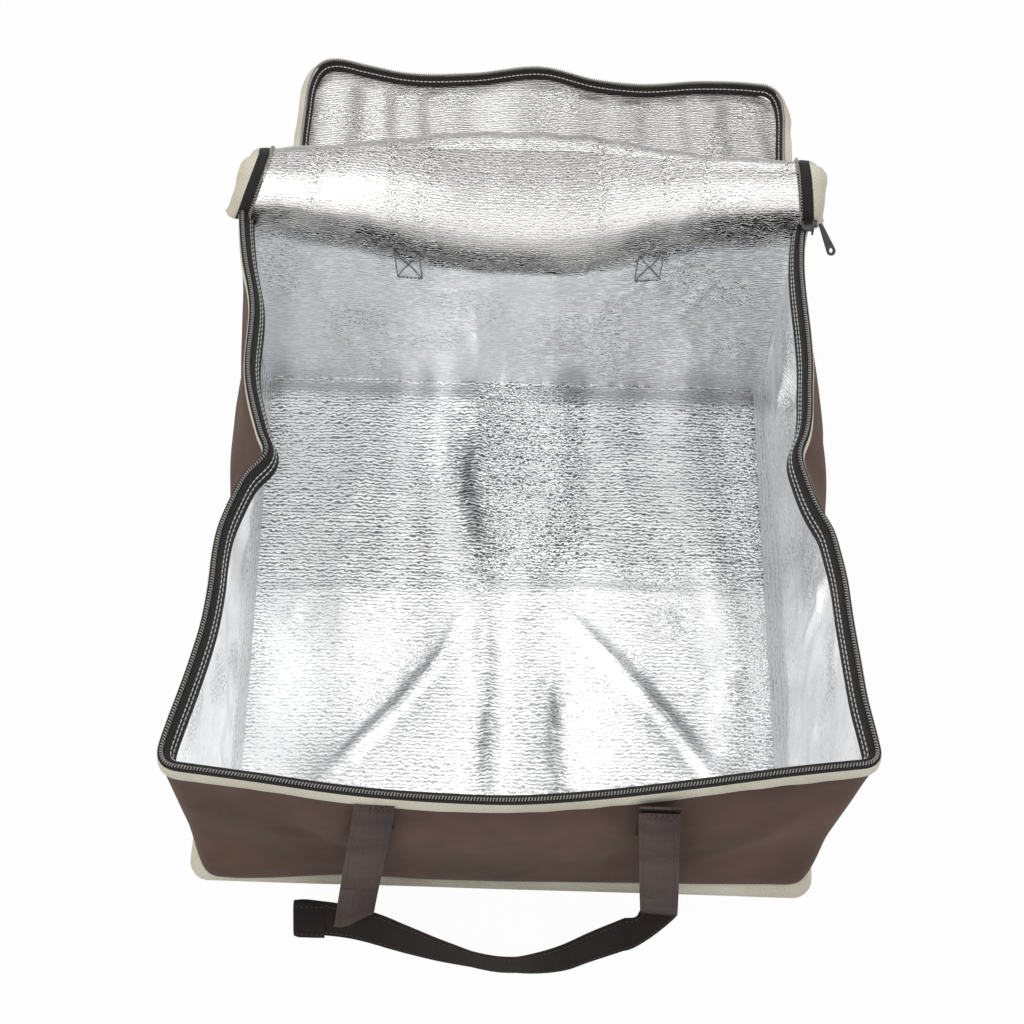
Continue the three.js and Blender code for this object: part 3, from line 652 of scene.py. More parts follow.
@dataclass(frozen=True)
class FoilFilm:
    """Embossed aluminised film on foam, grey, with wavy rows: painted highlights on ridges, painted
    shade in troughs.

    The mesh carries how the film lies, as one colour attribute: its level of grey, which is painted
    shade, highlight and reflection, the strength of its rows, how far they are crushed into a net,
    and its warmth.
    """

    name: str
    row: float = 2.75
    stroke: float = 4.2
    bend: float = 1.3
    relief: float = 0.1
    polish: float = 0.32

    def make(self) -> bpy.types.Material:
        """Rows are a sine along the sheet, and noise bends, crushes and breaks them up."""
        made, tree, out = fresh(self.name)
        lie_and_painted_shade = put(tree, "ShaderNodeAttribute", attribute_name="lie_and_painted_shade").outputs
        split = put(tree, "ShaderNodeSeparateColor", links={"Color": lie_and_painted_shade["Color"]})
        level, strength, crush = (split.outputs[k] for k in range(3))
        along = put(tree, "ShaderNodeSeparateXYZ", links={"Vector": scaled(tree, (1, self.row, 1))})
        bent = sums(tree, "MULTIPLY_ADD", cloud(tree, (self.stroke, 3.6, 1), True, Detail=1.0),
                    self.bend, along.outputs["Y"])
        net = cloud(tree, (2.4, 2.4, 1), True, Detail=1.0, Roughness=0.6)
        phase = sums(tree, "MULTIPLY_ADD", sums(tree, "MULTIPLY", net, 3.4), crush, bent)
        wave = sums(tree, "SINE", sums(tree, "MULTIPLY", phase, 2 * math.pi))
        gaps = cloud(tree, (7.0, 2.6, 1), True, Detail=1.5, Roughness=0.6)
        rows = sums(tree, "MULTIPLY", wave, ranged(tree, gaps, (0.3, 0.52), (0.2, 1.0)))
        swing = sums(tree, "MULTIPLY", rows, strength)
        fleck = cloud(tree, (1.4, 1.1, 1), True, Detail=1.0)
        # Colour: the grey level of painted shade and reflection, plus the rows as painted highlight
        # on ridges and painted shade in troughs, plus random flecks
        shade = sums(tree, "ADD", sums(tree, "MULTIPLY_ADD", swing, 0.4, level),
                     sums(tree, "MULTIPLY_ADD", fleck, 0.14, -0.07))
        grey = ramp(tree, shade, [(0.0, "1c1d1e"), (0.25, "404142"), (0.5, "808182"),
                                  (0.75, "bfc0c0"), (1.0, "ffffff")])
        cast = ramp(tree, lie_and_painted_shade["Alpha"], [(0.0, "eef5fb"), (0.5, "ffffff"), (1.0, "fff7f0")])
        colour = put(tree, "ShaderNodeMix", {0: 1.0}, {6: grey, 7: cast}, data_type="RGBA",
                     blend_type="MULTIPLY")
        surface(tree, out, colour.outputs[2], swing, 0.9, self.relief,
                {"Metallic": 1.0, "Roughness": self.polish})
        return made


@dataclass(frozen=True)
class SpunCloth:
    """Spun-bonded cloth: matt and a little mottled, pressed with rows of fine dots."""

    name: str
    light: str
    dark: str
    dot: float = 1.5
    pit: float = 0.14
    mottling: float = 1.0
    relief: float = 0.16

    def make(self) -> bpy.types.Material:
        """Dots are pits at the middles of a nearly even cell pattern, over broad soft mottling."""
        made, tree, out = fresh(self.name)
        dots = put(tree, "ShaderNodeTexVoronoi", {"Scale": 1.0, "Randomness": 0.35},
                   {"Vector": scaled(tree, (self.dot,) * 3, math.radians(45))},
                   voronoi_dimensions="2D").outputs["Distance"]
        fibre = cloud(tree, (0.9, 0.9, 0.9), Detail=4.0, Roughness=0.7)
        mottle = cloud(tree, (64, 84, 46), Detail=3.0, Roughness=0.6)
        broad = sums(tree, "MULTIPLY_ADD", mottle, self.mottling, 0.5 - 0.5 * self.mottling)
        grain = sums(tree, "MULTIPLY_ADD", fibre, 0.55, broad)
        tone = sums(tree, "ADD", grain, ranged(tree, dots, (0.0, 0.42), (-self.pit, 0.0)))
        colour = ramp(tree, tone, [(0.42, self.dark), (1.0, self.light)])
        surface(tree, out, colour, sums(tree, "MULTIPLY_ADD", fibre, 0.35, dots), 0.7, self.relief,
                {"Roughness": 0.86, "Sheen Weight": 0.03, "Sheen Roughness": 0.5,
                 "Specular IOR Level": 0.22})
        return made


@dataclass(frozen=True)
class KnittedTape:
    """Warp-knitted polyester tape: dull black with fine ribs along its length."""

    name: str
    light: str
    dark: str
    rib: float = 1.1
    relief: float = 0.18

    def make(self) -> bpy.types.Material:
        """Ribs are even bands across the tape, and loops make a finer pattern along it."""
        made, tree, out = fresh(self.name)
        ribs = put(tree, "ShaderNodeTexWave", {"Scale": 1.0, "Distortion": 0.4, "Detail": 1.0},
                   {"Vector": scaled(tree, (self.rib * 6.3, self.rib, self.rib))},
                   wave_type="BANDS", bands_direction="Y")
        fibre = cloud(tree, (1.3, 0.7, 0.7), Detail=3.0, Roughness=0.7)
        tone = sums(tree, "MULTIPLY_ADD", ribs.outputs["Fac"], 0.6, fibre)
        colour = ramp(tree, tone, [(0.35, self.dark), (1.0, self.light)])
        surface(tree, out, colour, tone, 0.8, self.relief,
                {"Roughness": 0.8, "Specular IOR Level": 0.3, "Sheen Weight": 0.06})
        return made


class Sheen(Enum):
    """How a smooth hard finish looks: its roughness, metallic share and coat."""

    NYLON = (0.36, 0.0, 0.0)
    THREAD = (0.55, 0.0, 0.0)
    FOAM = (0.75, 0.0, 0.0)
    ENAMEL = (0.34, 0.35, 0.35)


@dataclass(frozen=True)
class SmoothStuff:
    """Drawn, moulded or enamelled stuff: nearly plain, with faint wear and unevenness."""

    name: str
    light: str
    dark: str
    sheen: Sheen
    grain: float = 0.8
    relief: float = 0.06

    def make(self) -> bpy.types.Material:
        """Fine noise shades the colour, shifts the roughness and lifts the surface a little."""
        made, tree, out = fresh(self.name)
        rough, metallic, coat = self.sheen.value
        fleck = cloud(tree, (self.grain,) * 3, space="Object", Detail=4.0, Roughness=0.65)
        colour = ramp(tree, fleck, [(0.35, self.dark), (0.7, self.light)])
        dull = ranged(tree, fleck, (0.3, 0.7), (rough - 0.06, rough + 0.1))
        surface(tree, out, colour, fleck, 0.5, self.relief,
                {"Metallic": metallic, "Coat Weight": coat}, {"Roughness": dull})
        return made


class Wardrobe:
    """Every finish of the bag, made once."""

    def __init__(self) -> None:
        """Makes the materials."""
        self.foil = FoilFilm("embossed_aluminised_film").make()
        self.lid_foil = FoilFilm("embossed_aluminised_film_fine", 1.9, 4.6, 0.8).make()
        self.brown = SpunCloth("spun_cloth_brown", "664e43", "453229", 1.6, 0.18, 1.25).make()
        self.cream = SpunCloth("spun_cloth_cream", "ebe7d8", "c3bca6", 2.0, 0.3).make()
        webbing = (2.1, 0.34, 1.4, 0.24)
        self.strap = SpunCloth("spun_cloth_strap", "62524e", "352b29", *webbing).make()
        # Painted shade: the reverse is darker cloth that stands in for shade on the grip and the
        # folded feet
        back = (2.1, 0.3, 1.4, 0.24)
        self.reverse = SpunCloth("spun_cloth_strap_reverse", "29221f", "13100e", *back).make()
        self.tape = KnittedTape("knitted_polyester_tape", "2b2928", "141313").make()
        # Painted highlight: the coil's pale grey stands in for the shine on its turns
        self.coil = SmoothStuff("drawn_nylon_wire", "c4c2bd", "8a8883", Sheen.NYLON).make()
        self.enamel = SmoothStuff("enamelled_zinc", "3a3938", "1c1b1b", Sheen.ENAMEL, 2.5).make()
        self.foam = SmoothStuff("blown_polyethylene_foam", "f4f4f0", "dcdcd6", Sheen.FOAM, 0.9,
                                0.2).make()
        self.white_thread, self.brown_thread, self.grey_thread = (
            SmoothStuff(f"spun_thread_{name}", *colours, Sheen.THREAD).make()
            for name, colours in (("white", ("efeeea", "c2c0ba")), ("brown", ("4a403d", "2e2725")),
                                  ("grey", ("8d8a87", "5b5856")))
        )


# Placing pieces in the frame


@dataclass(frozen=True)
class Joint:
    """A place where cloth bends between two bodies: the bend runs from start to end at rest."""

    first: str
    second: str
    start: tuple[float, float, float]
    end: tuple[float, float, float]


@dataclass
class Lie:
    """How the film lies at each point: grey level of painted shade, row strength, crush and warmth.
    """

    level: Array
    strength: Array
    crush: Array
    warmth: Array | float

    def write(self, made: bpy.types.Object) -> None:
        """Writes it on a sheet's face, and the same on its back."""
        channels = np.broadcast_arrays(self.level, self.strength, self.crush, self.warmth)
        one = np.stack([np.asarray(channel, float).ravel() for channel in channels], -1)
        values = np.clip(np.concatenate([one, one]), 0, 2).astype(np.float32)
        layer = made.data.attributes.new("lie_and_painted_shade", "FLOAT_COLOR", "POINT")
        layer.data.foreach_set("color", values.ravel())


def placed(name: str, shell: Shell, finish: bpy.types.Material, hold: str | Joint,
           nodes: Sequence[str] = ()) -> bpy.types.Object:
    """Makes a piece, gives it to its body or leaves it in place, and lets it stand for solids of the
    frame.

    Args:
        name: The piece's name.
        shell: Its body in millimetres.
        finish: Its material.
        hold: The body it rides on, or the joint it bends over.
        nodes: Solids of the frame that it replaces.

    Returns:
        The object.
    """
    made = piece(name, shell, finish)
    if isinstance(hold, Joint):
        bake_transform(made)
    else:
        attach(made, hold)
    if nodes:
        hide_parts(*nodes)
    log.info("%s: %d points, %d faces", name, len(shell.points), len(shell.quads) + len(shell.tris))
    return made


# Walls

LEFT_RIM = (
    (-217.5, -203.5), (-204, -203), (-188, -200), (-170, -196), (-146, -191), (-122, -187),
    (-93, -185), (-71, -185), (-56, -184), (-31, -178), (-12, -171), (5, -160), (19, -165),
    (61, -177), (127, -181), (161, -189), (200, -195), (212, -196),
)
RIGHT_RIM = (
    (-203, 229.5), (-182, 226), (-160, 222), (-133, 219), (-103, 216), (-78, 214), (-59, 211),
    (-41, 207), (-26, 200), (-4, 193), (14, 190), (30, 195), (73, 199), (208, 202), (212, 203),
)
FRONT_RIM = (
    (-203.5, -217.5), (-146, -224), (-87, -231), (-27, -234), (8, -234), (61, -229), (120, -220),
    (179, -210), (229.5, -203),
)

# How far the front rim sags in the middle, and the share of that by which it moves back
FRONT_DIP = 13.0
DIP_SHIFT = 0.4

# The rim's corners in plan, its height, and the sideways places of the lining's foot under them
REAR_LEFT = (-196.0, 212.0)
FRONT_LEFT = (-203.5, -217.5)
FRONT_RIGHT = (229.5, -203.0)
REAR_RIGHT = (203.0, 212.0)
RIM_HEIGHT = 200.0
LINING_REAR_LEFT = -194.0
LINING_FRONT_LEFT = -184.0
LINING_FRONT_RIGHT = 193.0
LINING_REAR_RIGHT = 186.0

# Length of a wall, and the front corners' distances round the bag from the left rear one
WALL_LENGTH = 430.0
LEFT_CORNER_AT = 424.0
RIGHT_CORNER_AT = 850.0


@dataclass(frozen=True)
class Outline:
    """What the upright walls are lofted from, for each column round the left, front and right.

    The columns run from the left rear corner round the front to the right rear one.
    """

    rim: Array
    plain: Array
    cloth_foot: Array
    lining_foot: Array
    top: Array
    power: Array
    belly: Array

    def packed(self) -> Array:
        """All values of a column side by side."""
        flat = (self.top[:, None], self.power[:, None], self.belly[:, None])
        return np.concatenate([self.rim, self.plain, self.cloth_foot, self.lining_foot, *flat], 1)

    @staticmethod
    def unpacked(table: Array) -> "Outline":
        """The reverse of packed."""
        return Outline(table[:, 0:2], table[:, 2:4], table[:, 4:6], table[:, 6:8], table[:, 8],
                       table[:, 9], table[:, 10])


@dataclass
class Walls:
    """The left, front and right walls as one lofted shell of cloth, foam and lining."""

    wardrobe: Wardrobe
    cloth_foot: float = 9.0
    lining_foot: float = 5.0
    half_width: float = 201.8
    half_depth: float = 206.8
    corner: float = 13.0
    step: float = 3.6
    left_belly: float = 5.0
    right_belly: float = 17.0
    front_belly: float = 9.0
    side_power: float = 1.6
    front_power: float = 1.1
    overhang_reach: float = 4.2
    rear_band: float = 190.0
    rear_lean: float = 0.02
    lining_back_y: float = 197.0
    lining_front_y: float = -201.0
    outline: Outline = field(init=False)
    facing: Array = field(init=False)
    around: Array = field(init=False)

    def __post_init__(self) -> None:
        """Works out the columns: the three walls, with a parabola over each front corner."""
        self.outline = self.columns()
        middle = (self.outline.plain + self.outline.cloth_foot) / 2
        self.facing = beside(middle)
        self.around = travelled(middle)

    def left(self, share: Array) -> Outline:
        """Left wall from its back at 0 to the front corner at 1."""
        y = mixed(REAR_LEFT[1], FRONT_LEFT[1], share)
        rim = np.stack([through(y, *np.array(LEFT_RIM).T), y], -1)
        swell = self.left_belly * np.sin(np.pi * share)
        return self.side(share, rim, mixed(REAR_LEFT[0], FRONT_LEFT[0], share), -1, swell,
                         mixed(LINING_REAR_LEFT, LINING_FRONT_LEFT, share), share)

    def right(self, share: Array) -> Outline:
        """Right wall from the front corner at 0 to its back at 1."""
        y = mixed(FRONT_RIGHT[1], REAR_RIGHT[1], share)
        rim = np.stack([through(y, *np.array(RIGHT_RIM).T), y], -1)
        swell = self.right_belly * np.sin(np.pi * share)
        return self.side(share, rim, mixed(FRONT_RIGHT[0], REAR_RIGHT[0], share), 1, swell,
                         mixed(LINING_FRONT_RIGHT, LINING_REAR_RIGHT, share), 1 - share)

    def side(self, share: Array, rim: Array, plain_x: Array, sign: int, swell: Array,
             lining_x: Array, forward: Array) -> Outline:
        """A side wall's columns.

        Args:
            share: Share of the way along the wall.
            rim: The rim in plan.
            plain_x: Sideways places of the straight line between the rim's corners.
            sign: Side of the bag, -1 for the left and 1 for the right.
            swell: How far the wall bulges at half its height.
            lining_x: Sideways places of the lining's foot.
            forward: Share of the way from the rear to the front.

        Returns:
            The columns.
        """
        ones = np.ones_like(share)
        foot_y = mixed(1, -1, forward) * self.half_depth
        foot = np.stack([sign * self.half_width * ones, foot_y], -1)
        lining = np.stack([lining_x, mixed(self.lining_back_y, self.lining_front_y, forward)], -1)
        return Outline(rim, np.stack([plain_x, rim[:, 1]], -1), foot, lining, RIM_HEIGHT * ones,
                       self.side_power * ones, swell)

    def front(self, share: Array) -> Outline:
        """Front wall from the left corner at 0 to the right one at 1. Its rim sags between them."""
        x = mixed(FRONT_LEFT[0], FRONT_RIGHT[0], share)
        dip = FRONT_DIP * np.sin(np.pi * share) ** 2
        y = through(x, *np.array(FRONT_RIM).T) + DIP_SHIFT * dip
        lining_x = mixed(LINING_FRONT_LEFT, LINING_FRONT_RIGHT, share)
        ones = np.ones_like(share)
        return Outline(
            np.stack([x, y], -1),
            np.stack([x, mixed(FRONT_LEFT[1], FRONT_RIGHT[1], share)], -1),
            np.stack([mixed(-1, 1, share) * self.half_width, -self.half_depth * ones], -1),
            np.stack([lining_x, self.lining_front_y * ones], -1),
            RIM_HEIGHT - dip,
            self.front_power * ones,
            self.front_belly * np.sin(np.pi * share),
        )

    def columns(self) -> Outline:
        """The three walls in a row. A parabola that both walls touch rounds each corner."""
        cut = self.corner / WALL_LENGTH
        count = int(WALL_LENGTH / self.step)
        side_shares = np.linspace(0, 1 - cut, count)
        front_shares = np.linspace(cut, 1 - cut, count)
        walls = [
            self.left(side_shares).packed(),
            self.front(front_shares).packed(),
            self.right(1 - side_shares[::-1]).packed(),
        ]
        tips = [
            (self.left(np.array([1.0])).packed() + self.front(np.array([0.0])).packed()) / 2,
            (self.front(np.array([1.0])).packed() + self.right(np.array([0.0])).packed()) / 2,
        ]
        bend = np.linspace(0, 1, 9)[1:-1, None]
        rows = [walls[0]]
        for tip, before, after in zip(tips, walls, walls[1:]):
            rows += [bezier([before[-1], tip, after[0]], bend), after]
        return Outline.unpacked(np.concatenate(rows))

    def plan(self, depth: float, h: Array) -> Array:
        """Plan position of a layer at shares h of its height, rows by columns.

        A straight loft from foot to plain rim, plus the rim's own shape times a power of the
        height, plus a belly that is a half sine of the height, less the depth along the normal.

        Args:
            depth: Depth below the cloth's outer face.
            h: Shares of the height, rows by columns.

        Returns:
            Points in plan.
        """
        o = self.outline
        h = np.clip(h, 0, 1)[..., None]
        facing = mixed(self.facing, beside(o.rim), h)
        foot = mixed(o.cloth_foot, o.lining_foot, depth / LINING_IN)
        shaped = (o.rim - o.plain) * h ** o.power[:, None]
        belly = self.facing * (o.belly[:, None] * np.sin(np.pi * h))
        return mixed(foot, o.plain, h) + shaped + belly - facing * depth * h

    def grid(self, depth: float, foot: float, rises: Array) -> Array:
        """Points of a layer from its foot up: rises are shares of its height for each row.

        The loft's own share runs from the lining's foot, so that all layers nest.
        """
        o = self.outline
        z = mixed(foot, o.top, np.asarray(rises)[:, None])
        h = (z - self.lining_foot) / (o.top - self.lining_foot)
        return np.concatenate([self.plan(depth, h), z[..., None]], -1)

    def moved(self, depth: float, foot: float, rows: int,
              inward: Callable[[Array, Array], Array]) -> tuple[Array, Array]:
        """A layer's points from its foot up, moved inwards.

        Args:
            depth: Depth below the cloth's outer face.
            foot: Height of the lower edge.
            rows: Rows of points.
            inward: Distance inwards at distances round the bag and heights.

        Returns:
            The points and their distances round the bag.
        """
        grid = self.grid(depth, foot, np.linspace(0, 1, rows))
        around = np.broadcast_to(self.around, grid.shape[:2])
        grid[..., :2] -= inward(around, grid[..., 2])[..., None] * self.facing
        return grid, around

    def track(self) -> Track:
        """The rim's outer edge, which stops short of the rear wall at both ends."""
        o = Outline.unpacked(self.outline.packed()[1:-1])
        return Track.standing(np.concatenate([o.rim, o.top[:, None]], 1), beside(o.rim))

    def seam_on_wall(self, line: Sequence[tuple[float, float]]) -> tuple[Array, Array]:
        """Points and normals on the front lining along a broken line of (x, z)."""
        plain = resampled_plain(np.array(line, float), 40)
        grid, _ = self.moved(LINING_IN, self.lining_foot, 160, self.lining_in)
        grid = grid[:, np.flatnonzero(self.facing[:, 1] < -0.99)]
        row = np.array([np.argmin(np.abs(grid[:, 0, 2] - z)) for _, z in plain])
        points = np.stack([
            [np.interp(x, grid[r, :, 0], grid[r, :, axis]) for axis in range(3)]
            for r, (x, _) in zip(row, plain)
        ])
        return points, np.tile([0.0, 1.0, 0.0], (len(points), 1))

    def wrinkles(self, around: Array, z: Array) -> Array:
        """Unevenness of the cloth outside: soft dents and a few pulled folds, outwards."""
        folds = (
            Crease(((685, 190), (692, 120), (680, 60)), 9, 2.2),
            Crease(((470, 150), (540, 60), (570, 22)), 12, -2.0),
            Crease(((825, 170), (760, 70)), 12, 1.8),
            Crease(((90, 180), (120, 90), (100, 30)), 12, -2.0),
            Crease(((250, 190), (262, 110), (240, 40)), 10, 2.4),
            Crease(((1100, 180), (1085, 90), (1110, 30)), 11, -2.2),
            Crease(((1180, 150), (1160, 60)), 14, 2.0),
        )
        level = np.sin(np.pi * np.clip(z / RIM_HEIGHT, 0, 1)) ** 0.6
        corner = np.minimum(np.abs(around - LEFT_CORNER_AT), np.abs(around - RIGHT_CORNER_AT))
        return level * eased(corner, 0, 60) * (1.5 * rumple(around, z, 62, 11)
                                               + lifted(folds, around, z))

    def tucks(self, around: Array, z: Array) -> Array:
        """Unevenness of the lining inside the walls, towards the inside of the bag."""
        folds = (
            Crease(((905, 60), (925, 120), (945, 185)), 5, 2.6),
            Crease(((985, 40), (1000, 110), (985, 180)), 5, 2.2),
            Crease(((1130, 190), (1150, 110), (1168, 60)), 6, 3.0),
            Crease(((1205, 160), (1185, 90), (1190, 30)), 6, 3.2),
            Crease(((60, 30), (95, 110), (80, 180)), 6, 2.4),
            Crease(((195, 30), (205, 100), (212, 190)), 5, 2.8),
            Crease(((330, 40), (300, 120), (330, 180)), 6, 2.2),
        )
        calm = eased(z, 2, 30) * (1 - eased(z, 174, 185))
        swell = 1.3 * rumple(around, z, 38, 21) + 0.5 * crinkle(around, z, 14, 23)
        return calm * np.maximum(swell + 1.2 + lifted(folds, around, z), 0)

    def overhang(self, around: Array, z: Array) -> Array:
        """How far the cloth droops out over the welt: least at the left front corner."""
        left = 1 - eased(np.abs(around - 420), 6, 90)
        reach = self.overhang_reach * (1 - 0.9 * left) + 0.7 * waver(around, 47, 12)
        return reach * self.droop(z)

    @staticmethod
    def forward(around: Array) -> Array:
        """How much further the front wall's foot comes forward, from corner to corner."""
        front = eased(around, 395, 432) * (1 - eased(around, 846, 890))
        return front * (1.2 + 9.0 * (1 - eased(around, 436, 520)))

    @staticmethod
    def droop(z: Array) -> Array:
        """Share of the droop at a height: it ends at the foot, and fades out up the wall."""
        return eased(z, 8, 19) * (1 - eased(z, 22, 90))

    def sheet(self, outer: float, inner: float, foot: float, rows: int, rear: float,
              inward: Callable[[Array, Array], Array]) -> tuple[Shell, Array, Array]:
        """A layer between two depths, moved inwards by a function of place.

        Its last stretch is shortened in proportion, so that it ends in the rear wall's same layer.

        Args:
            outer: Depth of its outer face.
            inner: Depth of its inner face.
            foot: Height of its lower edge.
            rows: Rows of points.
            rear: Place of its rear ends along the bag, at the floor.
            inward: Distance inwards at distances round the bag and heights.

        Returns:
            The layer's body, with its points' distances round the bag and heights.
        """
        faces = []
        for depth in (outer, inner):
            grid, around = self.moved(depth, foot, rows, inward)
            grid[..., 1] -= self.forward(around) * self.droop(grid[..., 2])
            y = grid[..., 1]
            band = self.rear_band
            end = rear + self.rear_lean * grid[..., 2]
            share = (end - band) / (y.max(axis=1, keepdims=True) - band)
            grid[..., 1] = np.where(y > band, band + (y - band) * share, y)
            faces.append(grid)
        z = faces[0][..., 2]
        return slab(faces[0], faces[1], np.stack([around, z], -1)), around, z

    def cloth_in(self, around: Array, z: Array) -> Array:
        """Cloth moves out where it wrinkles, and the foam goes with it."""
        loose = (1 - eased(z, 168, 185)) * eased(z, 18, 40)
        return -self.wrinkles(around, z) * loose - self.overhang(around, z)

    def lining_in(self, around: Array, z: Array) -> Array:
        """The lining goes with the cloth, its foot curves in and its folds stand inwards."""
        return (self.cloth_in(around, z) + self.tucks(around, z)
                + 3.0 * np.exp(-np.maximum(z - 5, 0) / 3.5))

    def rear_edges(self, depth: float, inward: Callable[[Array, Array], Array]) -> Array:
        """Height, left place and right place of the rear edges of the layer at a depth."""
        grid, _ = self.moved(depth, self.lining_foot, 60, inward)
        return np.stack([grid[:, 0, 2], grid[:, 0, 0], grid[:, -1, 0]])

    def build(self) -> None:
        """Builds the three layers. Their unevenness fades out towards the foot and the rim."""
        w = self.wardrobe
        cloth, _, _ = self.sheet(0, CLOTH_IN, self.cloth_foot, 44, 207.0, self.cloth_in)
        placed("walls_outer_cloth", cloth, w.brown, "bag",
               ("outer_left_wall", "outer_front_wall", "outer_right_wall"))
        foam, _, _ = self.sheet(FOAM_OUT, FOAM_IN, 7.0, 44, 203.6, self.cloth_in)
        placed("walls_foam", foam, w.foam, "bag",
               ("foam_left_wall", "foam_front_wall", "foam_right_wall"))
        lining, around, z = self.sheet(LINING_OUT, LINING_IN, self.lining_foot, 62, 199.4,
                                      self.lining_in)
        made = placed("walls_lining", lining, w.foil, "bag",
                      ("lining_left_wall", "lining_front_wall", "lining_right_wall"))
        self.lie_and_painted_shade(around, z).write(made)

    def lie_and_painted_shade(self, around: Array, z: Array) -> Lie:
        """Painted shade on the walls' film: darker towards the rear corners and on a few crushed
        patches.
        """
        back = np.minimum(around, self.around[-1] - around)
        patch = eased(noise(around, z, 44, 87), 0.1, 0.7)
        # Painted shade: the grey level drops towards the rear corners and on the crushed patches
        level = (1.0 - 0.06 * (1 - eased(back, 40, 240)) - 0.08 * patch
                 + 0.03 * noise(around, z, 26, 81))
        return Lie(level, 0.3 + 0.5 * patch, 0.1 + 0.5 * patch, 0.38)


# Base


@dataclass
class Base:
    """The bag's floor, in three layers, and the cream welt rolled round it."""

    wardrobe: Wardrobe
    walls: Walls
    half_width: float = 210.0
    half_depth: float = 215.0
    welt_height: float = 18.0
    corner: float = 12.0
    floor_half: float = 190.0
    floor_front: float = -200.0
    floor_back: float = 196.0
    floor_left: tuple[float, float] = (-196.0, -186.0)
    floor_right: tuple[float, float] = (188.0, 195.0)

    def floor_height(self, x: Array, y: Array) -> Array:
        """Height of the lining over the floor: the folds that packing flat has left in it."""
        folds = (
            Crease(((-31, 197), (-27, 133), (-33, 89), (-22, 37), (-15, 12)), 6, 3.4),
            Crease(((-15, 12), (-18, -29), (-12, -76), (-7, -200)), 7, 3.8),
            Crease(((34, -27), (28, -75), (47, -200)), 7, 3.0),
            Crease(((-190, 8), (-81, 9), (-22, 12)), 6, 1.6),
            Crease(((-22, 12), (37, 12), (125, 12), (190, 10)), 6, 2.0),
            Crease(((-150, -165), (-102, -114), (-75, -82), (-49, -46), (-29, 4)), 6, 4.6),
            Crease(((170, -160), (123, -99), (95, -65), (66, -34), (22, 14)), 6, 4.6),
            Crease(((-48, 88), (-31, 50), (-15, 25), (7, 22)), 8, -2.0),
            Crease(((-120, 180), (-112, 120), (-118, 60)), 9, 1.6),
            Crease(((90, 180), (84, 110), (96, 50)), 9, 1.6),
        )
        swell = 1.6 * rumple(x, y * 0.55, 44, 31) + 1.6
        edge = np.minimum(np.minimum(x + self.floor_half, self.floor_half - x),
                          np.minimum(y - self.floor_front, self.floor_back - y))
        calm = eased(edge, -4, 26)
        curl = 3.0 * np.exp(-np.maximum(edge + 4, 0) / 3.0)
        rise = (np.maximum(swell, 0) + 0.5 * crinkle(x, y, 17, 33)
                + np.maximum(lifted(folds, x, y), -1.5))
        return LINING_IN + calm * rise + 0.4 * curl

    def lie_and_painted_shade(self, x: Array, y: Array) -> Lie:
        """How the film lies on the floor, with painted shade, highlight and reflection.

        It is painted greyer behind the cross fold than in front of it, with painted shade in dark
        lines along the creases, in the fans that run to the front corners, in a strip along the back
        and by the side walls, and a painted highlight in a blade. Its rows are smooth along the back
        and in the fans, and crushed to the right of the middle.
        """
        front = 1 - eased(y - 14 - 7 * np.sin(x / 52) - 0.05 * x, -16, 20)
        fans = lifted((
            Crease(((-152, -190), (-122, -140), (-92, -104), (-66, -66), (-48, -40)), 21, 1.0),
            Crease(((170, -176), (133, -118), (100, -70), (74, -36)), 16, 1.0),
        ), x, y)
        lines = lifted((
            Crease(((-6, -205), (-11, -110), (-13, -30)), 6, 0.6),
            Crease(((47, -205), (32, -110), (35, -30)), 9, 1.0),
            Crease(((-34, 165), (-36, 120), (-31, 80), (-26, 50), (-14, 22)), 9, 1.0),
        ), x, y)
        # Painted highlight along a blade beside the fold
        painted_highlight_blade = lifted((Crease(((-52, 96), (-47, 60), (-38, 34), (-24, 12)), 9, 1.0),), x, y)
        # Painted shade along the back, where the floor meets the rear wall
        strip = np.exp(-(((y - 188) / 11) ** 2)) * (1 - np.exp(-(((x + 6) / 26) ** 2)))
        right = eased(x, -34, -14) * (1 - eased(x, 40, 74)) * eased(y, 10, 40)
        patch = eased(noise(x, y, 36, 88), 0.1, 0.7)
        bands = 0.07 * np.sin(2 * np.pi * (x / 58 + 0.6 * noise(x, y * 0.3, 60, 89)))
        # Painted shade by the side walls
        side_wall_shade = 0.16 * eased(x, 146, 172) + 0.08 * eased(-x, 140, 180)
        # Grey level: painted reflection, lighter in front, with painted shade in the lines, fans,
        # strip and by the walls, and a painted highlight in the blade
        level = (0.88 + 0.1 * front + bands + 0.05 * rumple(x, y * 0.4, 34, 82) - 0.06 * right
                 + 0.16 * painted_highlight_blade - 0.36 * lines - 0.26 * fans - 0.2 * strip
                 + 0.05 * eased(-x, 20, 140) - side_wall_shade)
        strength = ((1.1 - 0.45 * front) * (1 - 0.8 * strip) * (1 - 0.5 * fans) * (1 - 0.4 * lines)
                    + 0.15 * right)
        crush = 0.06 + 0.4 * right + 0.5 * patch * (0.4 + 0.6 * front) + 0.3 * eased(x, 120, 180)
        return Lie(level, strength, crush, 0.5)

    def lining(self) -> tuple[Shell, Array, Array]:
        """The lining over the floor, between the four wall feet, raised by its folds.

        Returns:
            The lining's body, with its points' places across and along the bag.
        """
        rows, columns = 134, 128
        down = np.linspace(0, 1, rows)[:, None]
        across = np.linspace(0, 1, columns)[None, :]
        y = mixed(self.walls.lining_back_y + 2, self.walls.lining_front_y - 2, down) + 0 * across
        x = mixed(mixed(*self.floor_left, down), mixed(*self.floor_right, down), across)
        top = np.stack([x, y, self.floor_height(x, y)], -1)
        low = np.stack([x, y, np.full_like(x, LINING_OUT)], -1)
        return slab(top, low, np.stack([x, y], -1)), x, y

